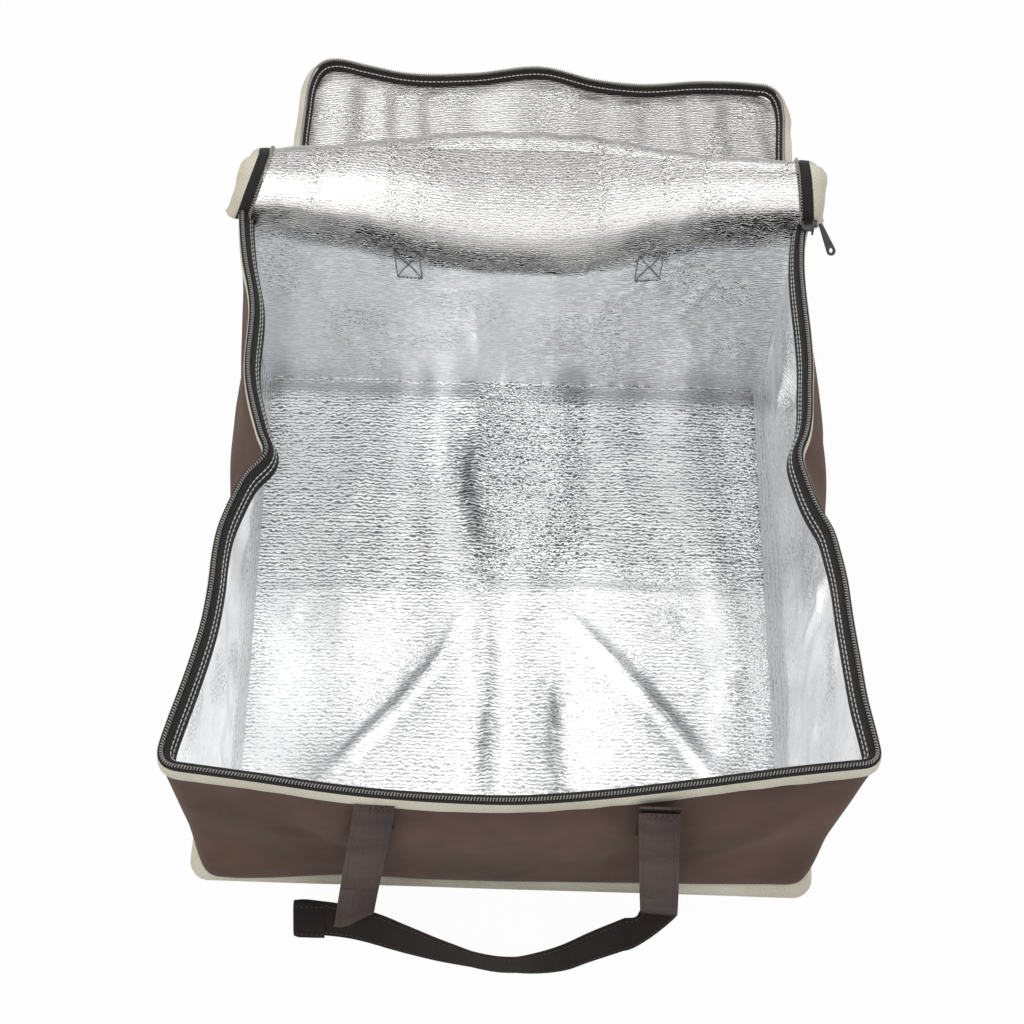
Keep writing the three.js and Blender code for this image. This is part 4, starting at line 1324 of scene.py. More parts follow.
    def flat(self, inset: float, low: float, high: float) -> Shell:
        """A flat layer with rounded corners, as one section under another."""
        loops = [self.loop(inset, z) for z in (low, high)]
        return tube(np.stack(loops), np.array([0.0, high - low]))

    def loop(self, inset: float, z: float, count: int = 9) -> Array:
        """Rounded rectangle at an inset from the base's outline, with rows along its sides."""
        x, y = self.half_width - inset, self.half_depth - inset
        radius = max(self.corner - inset, 1.0)
        angle = np.linspace(0, np.pi / 2, count)
        arcs = []
        for turn, (sx, sy) in enumerate(((1, 1), (-1, 1), (-1, -1), (1, -1))):
            a = angle + turn * np.pi / 2
            arcs.append(np.stack([sx * (x - radius) + radius * np.cos(a),
                                  sy * (y - radius) + radius * np.sin(a)], -1))
        plan = np.concatenate(arcs)
        return np.concatenate([plan, np.full((len(plan), 1), z)], 1)

    def welt(self) -> Shell:
        """The rolled strip: its section carried round the base, leaning and waving a little."""
        plan = self.loop(0.0, 0.0, 12)
        ring = np.concatenate([plan, plan[:1]])
        line = resampled_plain(ring, 420)
        ahead = unit(np.gradient(line, axis=0))
        ahead[[0, -1]] = unit(ahead[0] + ahead[-1])
        reach = travelled(line)
        sway = 1.1 * np.sin(reach / 41) + 0.8 * np.sin(reach / 17.3 + 1)
        roll = 0.7 * np.sin(reach / 29 + 2)
        profile = np.array([
            (-3.2, 0.1), (-1.2, 0.1), (0.6, 3.2), (0.9, 7.5), (-0.9, 12.5), (-4.6, 16.6),
            (-7.6, 18.4), (-8.6, 17.8), (-5.8, 15.4), (-2.4, 11.6), (-0.9, 7.5), (-1.3, 3.4),
        ])
        outs = profile[None, :, 0] + roll[:, None] * (profile[None, :, 1] / self.welt_height)
        ups = profile[None, :, 1] * (1 + sway[:, None] / self.welt_height)
        facing = np.stack([ahead[:, 1], -ahead[:, 0]], -1)
        grid = Track.standing(line, facing).carry(outs, ups)
        grid[-1] = grid[0]
        return ringed(grid, reach)

    def build(self) -> None:
        """Builds the base."""
        w = self.wardrobe
        placed("base_cloth", self.flat(2.4, 0.0, CLOTH_IN), w.brown, "bag",
               ("outer_base",))
        placed("base_foam", self.flat(9.4, FOAM_OUT, FOAM_IN), w.foam, "bag",
               ("foam_base",))
        lining, x, y = self.lining()
        made = placed("base_lining", lining, w.foil, "bag", ("lining_base",))
        self.lie_and_painted_shade(x, y).write(made)
        placed("base_welt_roll", self.welt(), w.cream, "bag", ("base_welt",))


# Zip edges


# Sections of the edges' cloth and tapes, as distances out and up from the edge's line
RIM_BINDING = (
    (0.3, 0.5), (1.0, -1.0), (1.5, -4.5), (1.6, -8.6), (1.1, -9.4), (0.7, -8.6), (0.5, -4.5),
    (0.2, -0.8),
)
RIM_TAPE = (
    (-8.4, -13.0), (-5.2, 0.3), (-0.2, 0.3), (0.3, 0.8), (-0.1, 1.4), (-1.3, 1.6), (-1.6, 2.9),
    (-2.3, 3.3), (-3.0, 2.9), (-3.3, 1.6), (-5.2, 1.7), (-5.8, 1.2), (-9.0, -13.0),
)
LID_BINDING = (
    (0.6, 7.2), (3.5, 4.5), (6.8, 0.0), (8.2, -4.6), (7.2, -4.9), (5.8, -1.2), (2.8, 3.2),
    (0.2, 6.2),
)
LID_TAPE = ((-6.5, 0.5), (-6.1, 0.1), (-1.3, 6.5), (-1.7, 6.9))


@dataclass(frozen=True)
class ZipStyle:
    """The sections of a zip edge: its cloth binding, tape, coil and rows of stitches."""

    binding: tuple[tuple[float, float], ...]
    tape: tuple[tuple[float, float], ...]
    coil_centre: tuple[float, float]
    seams: tuple[tuple[float, float], ...]
    wave: float = 0.9


CREST_BINDING = (
    (2.6, 1.0), (5.5, 1.0), (9.0, -1.2), (11.8, -5.2), (11.0, -6.0), (8.4, -2.4), (5.2, -0.4),
    (2.6, 0.2),
)
CREST_TAPE = ((-6.5, 0.9), (-2.0, 1.6), (3.4, 1.3), (3.4, 0.9), (-2.0, 1.1), (-6.5, 0.4))
RIM_ZIP = ZipStyle(RIM_BINDING, RIM_TAPE, (-2.3, 2.7), ((-7.0, -3.2), (-7.95, -7.4)))
LID_ZIP = ZipStyle(LID_BINDING, LID_TAPE, (-0.8, 8.6), ((-4.2, 3.7),), 1.1)
CREST_ZIP = ZipStyle(CREST_BINDING, CREST_TAPE, (-5.4, 1.9), (), 1.1)


@dataclass
class ZipEdge:
    """Binding, tape, coil and stitching along one edge of the bag."""

    wardrobe: Wardrobe
    name: str
    track: Track
    style: ZipStyle
    coil_radii: tuple[float, float] = (0.9, 1.0)
    pitch: float = 1.9
    wire: float = 0.42
    lobes: tuple[float, float] = (1.0, 1.0)

    def build(self, hold: str | Joint, bindings: Sequence[str], tapes: Sequence[str],
              coils: Sequence[str]) -> None:
        """Builds the edge's pieces.

        Args:
            hold: The body they ride on or the joint they bend over.
            bindings: Solids of the frame that the binding stands for.
            tapes: Solids that the tape stands for.
            coils: Solids that the coil stands for.
        """
        w = self.wardrobe
        line = self.track.every(3.0)
        reach = line.reach()
        wave = waver(reach, 33, 51) + 0.6 * waver(reach, 13, 52)
        spread = np.linspace(*self.lobes, len(reach)) * (1 + 0.22 * wave)
        sway = self.style.wave * (1.0 + wave)
        placed(f"{self.name}_binding", swept(line, self.style.binding, spread, sway), w.cream, hold,
               bindings)
        placed(f"{self.name}_tape", swept(line, self.style.tape, np.ones(len(reach)), reach * 0),
               w.tape, hold, tapes)
        winding = coil(self.track, self.style.coil_centre, self.coil_radii, self.pitch, self.wire)
        placed(f"{self.name}_coil", winding, w.coil, hold, coils)
        rows = []
        for out, up in self.style.seams:
            seam = line.carry(np.array([out]), np.array([up]))[:, 0]
            facing = unit(line.up * 0.3 - line.out)
            rows.append(stitches(seam, facing, *EDGE_STITCH))
        if rows:
            placed(f"{self.name}_seam", gathered(rows), w.white_thread, hold)


# Rear wall and lid


@dataclass(frozen=True)
class Station:
    """Where the sheet passes: lining at the sides, lining at the middle, and cloth, as (y, z)."""

    side: tuple[float, float]
    middle: tuple[float, float]
    cloth: tuple[float, float]


STATIONS = (
    Station((196, 5.2), (196, 5.2), (206.8, 18.3)),
    Station((201, 60), (199, 60), (208.6, 66)),
    Station((203.5, 120), (195, 115), (210.4, 120)),
    Station((205.5, 165), (189, 150), (211.3, 165)),
    Station((206, 196), (184.5, 168), (211.4, 194)),
    Station((206.5, 206), (180, 180), (211.9, 204)),
    Station((210, 216), (182, 197), (214.2, 212.5)),
    Station((218, 223.5), (193, 214), (220.5, 219.2)),
    Station((228, 227), (211, 228), (228.6, 222.2)),
    Station((234, 225.8), (234, 235), (232.6, 221.0)),
    Station((241, 219.6), (252, 231), (237.6, 216.2)),
    Station((247, 211.0), (261, 218), (242.8, 208.4)),
    Station((257.5, 195.5), (266, 203), (253.2, 193.2)),
    Station((291.6, 150), (293, 151), (287.3, 147.7)),
    Station((310.3, 114.9), (311, 115.3), (306, 112.6)),
    Station((339.4, 60), (339.8, 60.2), (335.1, 57.7)),
    Station((360.7, 20), (361, 20.2), (356.5, 17.8)),
    Station((368, 8.9), (368.3, 9.1), (364.2, 5.6)),
    Station((379, 5.2), (379, 5.4), (378, 0.5)),
    Station((395, 4.9), (395, 4.9), (395, 0.1)),
    Station((440, 4.9), (440, 4.9), (440, 0.1)),
    Station((512, 4.9), (512, 4.9), (512, 0.1)),
)

# Numbers of the stations at the crease under the crest, at the cuts and where the end lies level
CREASE_AT = 4
CREST_CUT = 9
SLOPE_CUT = 14
LEVEL_FROM = 20

FAR_EDGE = (
    (-189, 515), (-178, 519), (-165, 521), (-140, 515), (-105, 507), (-48, 508), (14, 517),
    (59, 504), (94, 500), (151, 505), (192, 504), (216, 500),
)


class Layer(Enum):
    """A layer of the lid: both faces' shares of the way from lining to cloth, and its spacing."""

    LINING = (0.0, 0.1, 2.9)
    FOAM = (0.17, 0.77, 7.0)
    CLOTH = (0.84, 1.0, 5.0)


@dataclass
class Lid:
    """Rear wall and lid as one padded sheet: up the back, over the hump and down to the floor.

    The sheet is cut where the frame's bodies meet, at the middle of the crest and of the slope.
    """

    wardrobe: Wardrobe
    walls: Walls
    hump_middle: float = 8.0
    hump_left: float = 118.0
    hump_right: float = 88.0
    crest_reach: float = 24.0
    crest_drop: float = 6.0
    cloth_swell: float = 0.3
    corner: float = 15.0
    hem: float = 5.0
    far_corners: tuple[float, float] = (-189.0, 218.0)
    boxes: tuple[tuple[float, float], ...] = ((-80, 152), (93, 152))
    knots: Array = field(init=False)

    def __post_init__(self) -> None:
        """Spaces the stations by the distance between them along the sides."""
        self.side, self.middle, self.cloth = (
            np.array([getattr(s, key) for s in STATIONS], float)
            for key in ("side", "middle", "cloth")
        )
        self.knots = travelled(self.side)
        self.meeting = {
            Layer.CLOTH: self.walls.rear_edges(CLOTH_IN / 2, self.walls.cloth_in),
            Layer.LINING: self.walls.rear_edges(LINING_IN, self.walls.lining_in),
        }
        ends = self.knots[[0, CREASE_AT, CREST_CUT, SLOPE_CUT, LEVEL_FROM, -1]]
        self.left_edge = (ends, np.array([-197, -197, -179, -188, -189, -188.0]))
        self.right_edge = (ends, np.array([191, 203, 197, 210, 216, 218.0]))

    def edge_x(self, t: Array, right: bool) -> Array:
        """Sideways place of the ridge at distances along the sheet."""
        knots, values = self.right_edge if right else self.left_edge
        return np.interp(t, knots, values)

    def far_y(self, x: Array) -> Array:
        """Far end of the lining: the ridge less the hem, with an arc at each corner."""
        y = through(x, *np.array(FAR_EDGE, float).T) - self.hem - 1
        gap = np.minimum(x + 184, 211 - x)
        short = np.clip(self.corner - gap, 0, self.corner)
        return y - (self.corner - np.sqrt(self.corner**2 - short**2))

    def sheet(self, x: Array, t: Array, share: float) -> Array:
        """Points of the sheet.

        Across the bag, the middle's section is blended in by one over one plus the cube of the
        distance from the middle over a width, which is larger on the left, where the crest also
        hangs lower. Beyond the level stretch, rows are stretched to the far end.

        Args:
            x: Sideways places, rows by columns.
            t: Distances along the sheet, one for each row.
            share: Share of the way from lining to cloth.

        Returns:
            The points, rows by columns.
        """
        away = x - self.hump_middle
        width = np.where(away < 0, self.hump_left, self.hump_right)
        swell = (1 / (1 + np.abs(away / width) ** 3))[..., None]
        top = np.exp(-(((t - self.knots[CREST_CUT - 1]) / self.crest_reach) ** 2))[:, None]
        side, middle, cloth = (
            through(t, self.knots, table)[:, None] for table in (self.side, self.middle, self.cloth)
        )
        bulge = (middle - side) * swell
        flat = mixed(side + bulge, cloth + self.cloth_swell * bulge, share)
        y, z = flat[..., 0], flat[..., 1] - self.crest_drop * top * (1 - eased(x, -190, -60))
        level = STATIONS[LEVEL_FROM].side[0]
        stretch = (self.far_y(x) - level) / (STATIONS[-1].side[0] - level)
        y = np.where(y > level, level + (y - level) * stretch, y)
        return np.stack([x, y, z], -1)

    def relief(self, x: Array, t: Array) -> Array:
        """Height of the lining's creases and ripples, towards its face."""
        up_wall = self.knots[CREASE_AT]
        folds = (
            Crease(((-184, 24), (-111, 74), (-34, 127)), 4, 1.6),
            Crease(((-31, 118), (-29, 12)), 4, 2.0),
            Crease(((12, 112), (20, 60), (8, 8)), 5, 1.6),
            Crease(((70, 150), (58, 90), (66, 20)), 6, 1.4),
            Crease(((150, 160), (120, 90), (140, 20)), 6, 1.6),
            Crease(((-150, 160), (-140, 90), (-120, 20)), 6, 1.4),
        )
        wall = eased(t, 0, 24) * (1 - eased(t, up_wall - 6, up_wall + 10))
        soft = 1.1 * rumple(x, t, 40, 61) + 0.5 * crinkle(x, t, 15, 62) + lifted(folds, x, t)
        net = np.exp(-(((t - up_wall - 2) / 15) ** 2))
        pinch = net * (1.9 * crinkle(x, t * 0.6, 8.5, 63) + 1.1 * crinkle(x, t, 4.6, 64))
        for box in self.boxes:
            gap = np.hypot(x - box[0], t - box[1])
            turned = np.arctan2(t - box[1], x - box[0])
            rays = 0.5 + 0.5 * np.sin(9 * turned + 4 * noise(x, t, 26, 68))
            pinch = pinch + 1.5 * rays * eased(gap, 8, 17) * (1 - eased(gap, 20, 42))
        hump = eased(t, up_wall + 8, up_wall + 26) * (1 - eased(t, up_wall + 46, up_wall + 60))
        slope = eased(t, up_wall + 40, up_wall + 70)
        ripple = 0.7 * np.sin(2 * np.pi * (x / 38 + 0.5 * noise(x, t, 90, 65))) * slope
        edge = np.minimum(x + 192, 212 - x)
        calm = eased(edge, 0, 14)
        end = 1 - eased(t, self.knots[-1] - 18, self.knots[-1] - 4)
        height = (wall * (soft + 1.2) + pinch + hump * (0.8 * rumple(x, t, 30, 66) + 0.8)
                  + ripple + slope * (0.7 * rumple(x, t, 52, 67) + 1.2))
        return calm * end * np.maximum(height, 0)

    def lining_at(self, x: Array, t: Array) -> Array:
        """Points of the lining's face with its relief."""
        base = self.sheet(x, t, 0.0)
        facing = normals_of(base)
        t_grid = np.broadcast_to(np.asarray(t)[:, None], x.shape)
        return base + facing * self.relief(x, t_grid)[..., None]

    def places(self, layer: Layer, first: float, last: float) -> tuple[Array, Array]:
        """Sideways places and distances along the sheet of a layer's points, rows by columns."""
        step = layer.value[2]
        rows = max(4, int(math.ceil((last - first) / step)) + 1)
        t = np.linspace(first, last, rows)
        inset = {Layer.LINING: self.hem, Layer.FOAM: self.hem - 0.8, Layer.CLOTH: 1.0}[layer]
        left = self.edge_x(t, False) + inset
        right = self.edge_x(t, True) - inset
        if layer is not Layer.FOAM:
            outside = layer is Layer.CLOTH
            z = np.interp(t, self.knots, (self.cloth if outside else self.side)[:, 1])
            edges = self.meeting[layer]
            high = eased(t, self.knots[CREASE_AT] - 12, self.knots[CREASE_AT])
            left = mixed(np.interp(z, *edges[:2]), left, high)
            right = mixed(np.interp(z, *edges[::2]), right, high)
        x = mixed(left[:, None], right[:, None], np.linspace(0, 1, int(400 / step))[None, :])
        return x, np.broadcast_to(t[:, None], x.shape)

    def layer(self, layer: Layer, first: float, last: float) -> Shell:
        """One layer between two distances along the sheet.

        Args:
            layer: Which layer.
            first: Distance at which it starts.
            last: Distance at which it ends.

        Returns:
            The layer's body.
        """
        x, t_grid = self.places(layer, first, last)
        t = t_grid[:, 0]
        low, high, _ = layer.value
        if layer is Layer.LINING:
            face = self.lining_at(x, t)
            back = face - normals_of(face) * (LINING_IN - LINING_OUT)
        else:
            face, back = self.sheet(x, t, low), self.sheet(x, t, high)
        steps = np.linalg.norm(np.diff(self.sheet(x, t, low), axis=0), axis=-1)
        along = first + np.concatenate([np.zeros((1, x.shape[1])), np.cumsum(steps, axis=0)])
        return slab(face, back, np.stack([x, along], -1))

    def lie_and_painted_shade(self, x: Array, t: Array) -> Lie:
        """How the film lies, with painted shade and highlight.

        It is pale up the wall and on the hump, painted dark and wrinkled in the crease, painted
        darker across the crown, and greyer beyond.
        """
        crease = self.knots[CREASE_AT]
        up = t - crease
        wall = 1 - eased(up, -14, 2)
        hump = eased(up, 12, 26) * (1 - eased(up, 46, 62))
        beyond = eased(up, 46, 62)
        # Painted shade in the crease under the hump
        fold = (eased(up, -26, -8) * (1 - eased(up, 12, 22))) * (0.75 + 0.45 * noise(x, t, 26, 83))
        patch = eased(noise(x, t, 30, 90), 0.15, 0.7)
        bands = np.sin(2 * np.pi * (x / 64 + 0.4 * noise(x, t * 0.2, 70, 84)))
        right = eased(x, -30, 60)
        columns = eased(noise(x, t * 0.25, 9, 91), 0.3, 0.8) * eased(np.abs(x + 10), 20, 60)
        # Painted shade across the crown of the hump
        crown = eased(up, 28, 44) * (1 - eased(up, 50, 62))
        # Grey level: painted shade and highlight laid out along the sheet
        level = (wall * (1.12 - 0.05 * right + 0.09 * noise(x, t * 0.6, 42, 85))
                 + hump * (0.93 + 0.03 * rumple(x, t, 40, 86) - 0.05 * columns)
                 + (1 - wall) * (1 - hump - beyond) * 0.92
                 + beyond * (0.61 - 0.07 * right + 0.02 * bands) - 0.56 * fold - 0.24 * crown)
        strength = (wall * (0.9 + 0.3 * right + 0.3 * patch) + hump * (0.5 + 0.3 * columns)
                    + beyond * (0.6 + 0.1 * patch) + 1.5 * fold)
        crush = (0.12 + wall * 0.4 * patch + hump * (0.25 + 0.4 * columns) + beyond * 0.3 * patch
                 + 0.2 * fold)
        return Lie(level, strength, crush, 0.38 * wall + 0.72 * (1 - wall))

    def ridge(self, t: Array, right: bool) -> Track:
        """The edge line at distances along the sheet, on the lining's level."""
        x = self.edge_x(t, right)
        columns = np.stack([x - 4, x, x + 4], 1)
        grid = self.sheet(columns, t, 0.0)
        points = grid[:, 1]
        ahead = unit(np.gradient(points, axis=0))
        sign = 1.0 if right else -1.0
        out = np.tile([sign, 0.0, 0.0], (len(t), 1))
        up = unit(np.cross(np.array([1.0, 0.0, 0.0]), ahead))
        return Track(points, out, up)

    def far_ridge(self) -> Track:
        """The edge line of the lid's end: down the left, round the far edge and up the right."""
        start = self.knots[SLOPE_CUT]
        stop = self.knots[LEVEL_FROM] + 40
        rows = 80
        left, right = (self.ridge(np.linspace(start, stop, rows), side) for side in (False, True))
        x = np.linspace(-166, 196, 120)
        far = through(x, *np.array(FAR_EDGE, float).T)
        middle = np.stack([x, far, np.full_like(x, LINING_IN)], -1)
        left_tip, right_tip = self.far_corners
        tips = (
            (left.points[-1], np.array([left_tip, far[0] - 1, LINING_IN]), middle[0]),
            (middle[-1], np.array([right_tip, far[-1] + 1, LINING_IN]), right.points[-1]),
        )
        bend = np.linspace(0, 1, 26)[1:-1, None]
        corners = [
            bezier([a, mixed(a, tip, 0.8), mixed(b, tip, 0.6), b], bend) for a, tip, b in tips
        ]
        points = np.concatenate([left.points, corners[0], middle, corners[1], right.points[::-1]])
        ahead = unit(np.gradient(points, axis=0))
        up = np.tile([0.0, 0.0, 1.0], (len(points), 1))
        up[:rows] = left.up
        up[-rows:] = right.up[::-1]
        out = unit(np.cross(up, ahead) * -1)
        return Track(points, -out if out[0, 0] > 0 else out, up)

    def build(self) -> None:
        """Builds the sheet's three parts and their zip edges."""
        w = self.wardrobe
        k = self.knots
        crest = Joint("bag", "lid_crest", (0, 200, 205), (0, 233, 229))
        slope = Joint("lid_crest", "lid_slope", (0, 238, 229), (0, 262, 206))
        end = Joint("lid_slope", "lid_end", (0, 350, 40), (0, 392, 5))
        spans = (
            ("rear_and_crest", crest, k[0], k[CREST_CUT], ("{}_rear_wall", "lid_crest_{}")),
            ("lid_slope", slope, k[CREST_CUT], k[SLOPE_CUT], ("lid_slope_{}",)),
            ("lid_end", end, k[SLOPE_CUT], k[-1], ("lid_end_{}",)),
        )
        layers = (
            (Layer.CLOTH, "cloth", "outer", w.brown, "outer_cloth"),
            (Layer.FOAM, "foam_core", "foam", w.foam, "foam_sheet"),
            (Layer.LINING, "foil", "lining", w.lid_foil, "foil_lining"),
        )
        for name, joint, first, last, forms in spans:
            for layer, label, part, finish, slot in layers:
                made = placed(f"{name}_{label}", self.layer(layer, first, last), finish, joint,
                              tuple(form.format(part) for form in forms))
                if layer is Layer.LINING:
                    self.lie_and_painted_shade(*self.places(layer, first, last)).write(made)
        zones = (
            ("crest", crest, np.linspace(k[CREASE_AT] + 3, k[CREST_CUT], 60), (1.1, 1.2)),
            ("slope", slope, np.linspace(k[CREST_CUT], k[SLOPE_CUT], 90), (1.2, 0.72)),
        )
        for side, right in (("left", False), ("right", True)):
            for zone, joint, t, lobes in zones:
                edge = ZipEdge(w, f"lid_{zone}_{side}", self.ridge(t, right), CREST_ZIP,
                               lobes=lobes)
                edge.build(joint, *((f"lid_{zone}_{part}_{side}",)
                                    for part in ("binding", "zip_tape", "zip_coil")))
        ZipEdge(w, "lid_end_edge", self.far_ridge(), LID_ZIP).build(
            end, ("lid_end_binding",), ("lid_end_zip_tape",), ("lid_end_zip_coil",))

    def seam_on_wall(self, line: Sequence[tuple[float, float]]) -> tuple[Array, Array]:
        """Points and normals on the rear lining along a broken line of (x, z)."""
        plain = resampled_plain(np.array(line, float), 40)
        t_fine = np.linspace(0, self.knots[CREASE_AT + 1], 240)
        points, facings = [], []
        for x, z in plain:
            columns = np.broadcast_to(np.array([x - 1, x, x + 1])[None, :], (len(t_fine), 3))
            grid = self.lining_at(columns, t_fine)
            at = int(np.argmin(np.abs(grid[:, 1, 2] - z)))
            points.append(grid[at, 1])
            facings.append(normals_of(grid)[at, 1])
        return np.array(points), np.array(facings)


# Straps


@dataclass(frozen=True)
class Leg:
    """One leg of a strap.

    Its course goes over the fold at the top and down the wall, as (height, distance out). The foot
    is folded on the slant and turned sideways, left for a turn of -1 and right for 1, or swings
    straight round into the grip.
    """

    label: str
    top_x: float
    foot_x: float
    turn: float
    course: tuple[tuple[float, float], ...]
    box: tuple[float, float, float, float]
    swings: bool = False


@dataclass
class Strap:
    """A carrying strap: two legs that hang down a wall, and a grip that stands on the floor."""

    wardrobe: Wardrobe
    name: str
    sign: float
    legs: tuple[Leg, Leg]
    loop: tuple[tuple[float, float], ...]
    hinge_z: float
    tab_bottom: float
    tab_top: float
    tab_out: tuple[float, float]
    width: float = 25.0
    thickness: float = 1.6
    split_z: float = 60.0
    columns: int = 11
    foot_rows: int = 24
    turn_rows: int = 14
    fold_lift: float = 1.7
    grip_clearance: float = 0.9
    leans: tuple[tuple[float, float], ...] = ((0, 0), (1, 0))

    @property
    def offsets(self) -> Array:
        """Places across the webbing."""
        return np.linspace(-0.5, 0.5, self.columns) * self.width

    def webbing(self, label: str, grid: Array, hold: str | Joint, nodes: Sequence[str] = (),
                turned: int | None = None) -> None:
        """Gives a grid its thickness, thin at the edges, and two rows of stitches on each face.

        Args:
            label: What the stretch is.
            grid: Points of the middle of the webbing, along it by across it.
            hold: The body it rides on, or the joint it bends over.
            nodes: Solids of the frame that it replaces.
            turned: Row from which the reverse, darkened with painted shade, shows on both faces.
        """
        facing = normals_of(grid)
        reach = travelled(grid[:, self.columns // 2])
        grid = grid + facing * (0.35 * waver(reach, 21, 71))[:, None, None]
        half = self.thickness / 2 * np.sqrt(1 - 0.8 * (2 * self.offsets / self.width) ** 6)
        places = np.stack(np.broadcast_arrays(reach[:, None], self.offsets[None, :]), -1)
        lift = facing * half[None, :, None]
        w = self.wardrobe
        made = placed(f"{self.name}_{label}", slab(grid + lift, grid - lift, places), w.strap, hold,
                      nodes)
        # Second material: the reverse, darkened with painted shade
        made.data.materials.append(w.reverse)
        faces = (len(grid) - 1) * (self.columns - 1)
        sides = np.zeros(len(made.data.polygons), np.int32)
        sides[:faces] = self.sign < 0
        sides[faces:2 * faces] = self.sign > 0
        if turned is not None:
            start = turned * (self.columns - 1)
            sides[start:faces] = sides[faces + start:2 * faces] = 1
        made.data.polygons.foreach_set("material_index", sides)
        rows = [
            stitches(grid[:, k] + facing[:, k] * face * self.thickness * 0.52, facing[:, k] * face,
                     *STRAP_STITCH)
            for k in (1, self.columns - 2) for face in (-1, 1)
        ]
        placed(f"{self.name}_{label}_seams", gathered(rows), w.brown_thread, hold)

    def middle_x(self, leg: Leg, z: Array) -> Array:
        """Sideways place of a leg's middle at a height."""
        return np.interp(z, [0.0, self.hinge_z], [leg.foot_x, leg.top_x])

    def upper(self, leg: Leg) -> Array:
        """Grid of a leg from behind its fold at the top down to the split."""
        course = np.array(leg.course, float)
        smooth = resampled(course, 90)
        past_top = np.arange(len(smooth)) > 25
        keep = smooth[: int(np.argmax(past_top & (smooth[:, 0] < self.split_z))) + 1]
        keep[-1, 0] = self.split_z
        z, out = keep.T
        x = self.middle_x(leg, z)[:, None] + self.offsets[None, :]
        z_grid, y = np.broadcast_arrays(z[:, None], self.sign * out[:, None])
        return np.stack([x, np.broadcast_to(y, x.shape), np.broadcast_to(z_grid, x.shape)], -1)

    def lower(self, leg: Leg) -> Array:
        """Grid of a leg from the split to its slanting fold, and on sideways to the grip."""
        course = np.array(leg.course, float)
        down = course[np.argmax(course[:, 0]):]
        fold_z = self.width / 2 + 0.3 - leg.turn * self.offsets
        if leg.swings:
            fold_z = 14 - 0.45 * self.offsets
        share = np.linspace(0, 1, self.foot_rows)[:, None]
        z = mixed(self.split_z, fold_z[None, :], share)
        x = self.middle_x(leg, z) + self.offsets[None, :]
        out = np.interp(z, down[::-1, 0], down[::-1, 1])
        first = np.stack([x, self.sign * out, z], -1)
        start = first[-1]
        if leg.swings:
            return np.concatenate([first, self.swing(start)])
        ahead = np.linspace(0, 1, self.turn_rows)[1:, None, None]
        end = self.loop_end(leg)[None]
        second = mixed(start[None], end, ahead)
        second[..., 1] = mixed(start[None, :, 1], end[..., 1], ahead[..., 0] ** 0.5)
        lift = self.fold_lift * np.minimum(1, np.abs(second[..., 0] - start[None, :, 0]) / 2.5)
        second[..., 1] = self.sign * np.minimum(self.sign * second[..., 1],
                                                self.sign * start[None, :, 1] - lift)
        return np.concatenate([first, second])

    def swing(self, start: Array) -> Array:
        """Rows from a leg's end round to the grip's last section, each point along a cubic."""
        end = self.grip()[-1, ::-1]
        pull = np.array([-2.0, self.sign * 3.0, -3.0])
        shares = np.linspace(0, 1, self.turn_rows)[1:, None, None]
        return bezier([start, start + pull, end + np.array([9.0, 0.0, 0.0]), end], shares)

    def loop_end(self, leg: Leg) -> Array:
        """The grip's section at a leg, in the order of the leg's own points."""
        return self.grip()[0] if leg.turn < 0 else self.grip()[-1, ::-1]

    def grip(self) -> Array:
        """Grid of the grip: the webbing on edge along its line on the floor."""
        line = resampled(np.array(self.loop, float), 170)
        x, out = line.T
        lean = np.interp(np.linspace(0, 1, len(x)), *np.array(self.leans, float).T)[:, None]
        rise = self.width / 2 + self.offsets[None, :]
        y = self.sign * (out[:, None] + (self.width / 2 - rise) * np.sin(lean))
        z = self.grip_clearance + rise * np.cos(lean)
        return np.stack([np.broadcast_to(x[:, None], y.shape), y, z], -1)

    def tab(self, leg: Leg) -> Array:
        """Grid of the sewn end, flat on the wall."""
        z = np.linspace(self.tab_bottom, self.tab_top, 24)
        out = mixed(self.tab_out[0], self.tab_out[1], (z - z[0]) / (z[-1] - z[0]))
        x = leg.top_x + self.offsets
        x, y, z = np.broadcast_arrays(x[None, :], self.sign * out[:, None], z[:, None])
        return np.stack([x, y, z], -1)

    def build(self) -> None:
        """Builds the strap from its sewn ends to its grip."""
        grip = self.name.replace("strap", "grip")
        for leg in self.legs:
            out = self.tab_out[1] + 0.3
            top = self.hinge_z
            fold = Joint("bag", self.name, (leg.top_x, self.sign * (out + 0.6), top),
                         (leg.top_x, self.sign * (out + 2.4), top))
            foot = Joint(self.name, grip, (leg.foot_x, self.sign * out, 46),
                         (leg.foot_x, self.sign * out, 27))
            self.webbing(f"{leg.label}_sewn_end", self.tab(leg), "bag",
                         (f"{self.name}_{leg.label}_tab",))
            self.webbing(f"{leg.label}_fall", self.upper(leg), fold,
                         (f"{self.name}_{leg.label}_leg",))
            # Past its fold the foot shows its reverse side, whose dark colour is painted shade
            self.webbing(f"{leg.label}_foot", self.lower(leg), foot, turned=self.foot_rows)
        # The whole grip shows the reverse's painted shade on both faces
        self.webbing("loop", self.grip(), grip, (f"{self.name}_grip",), turned=0)


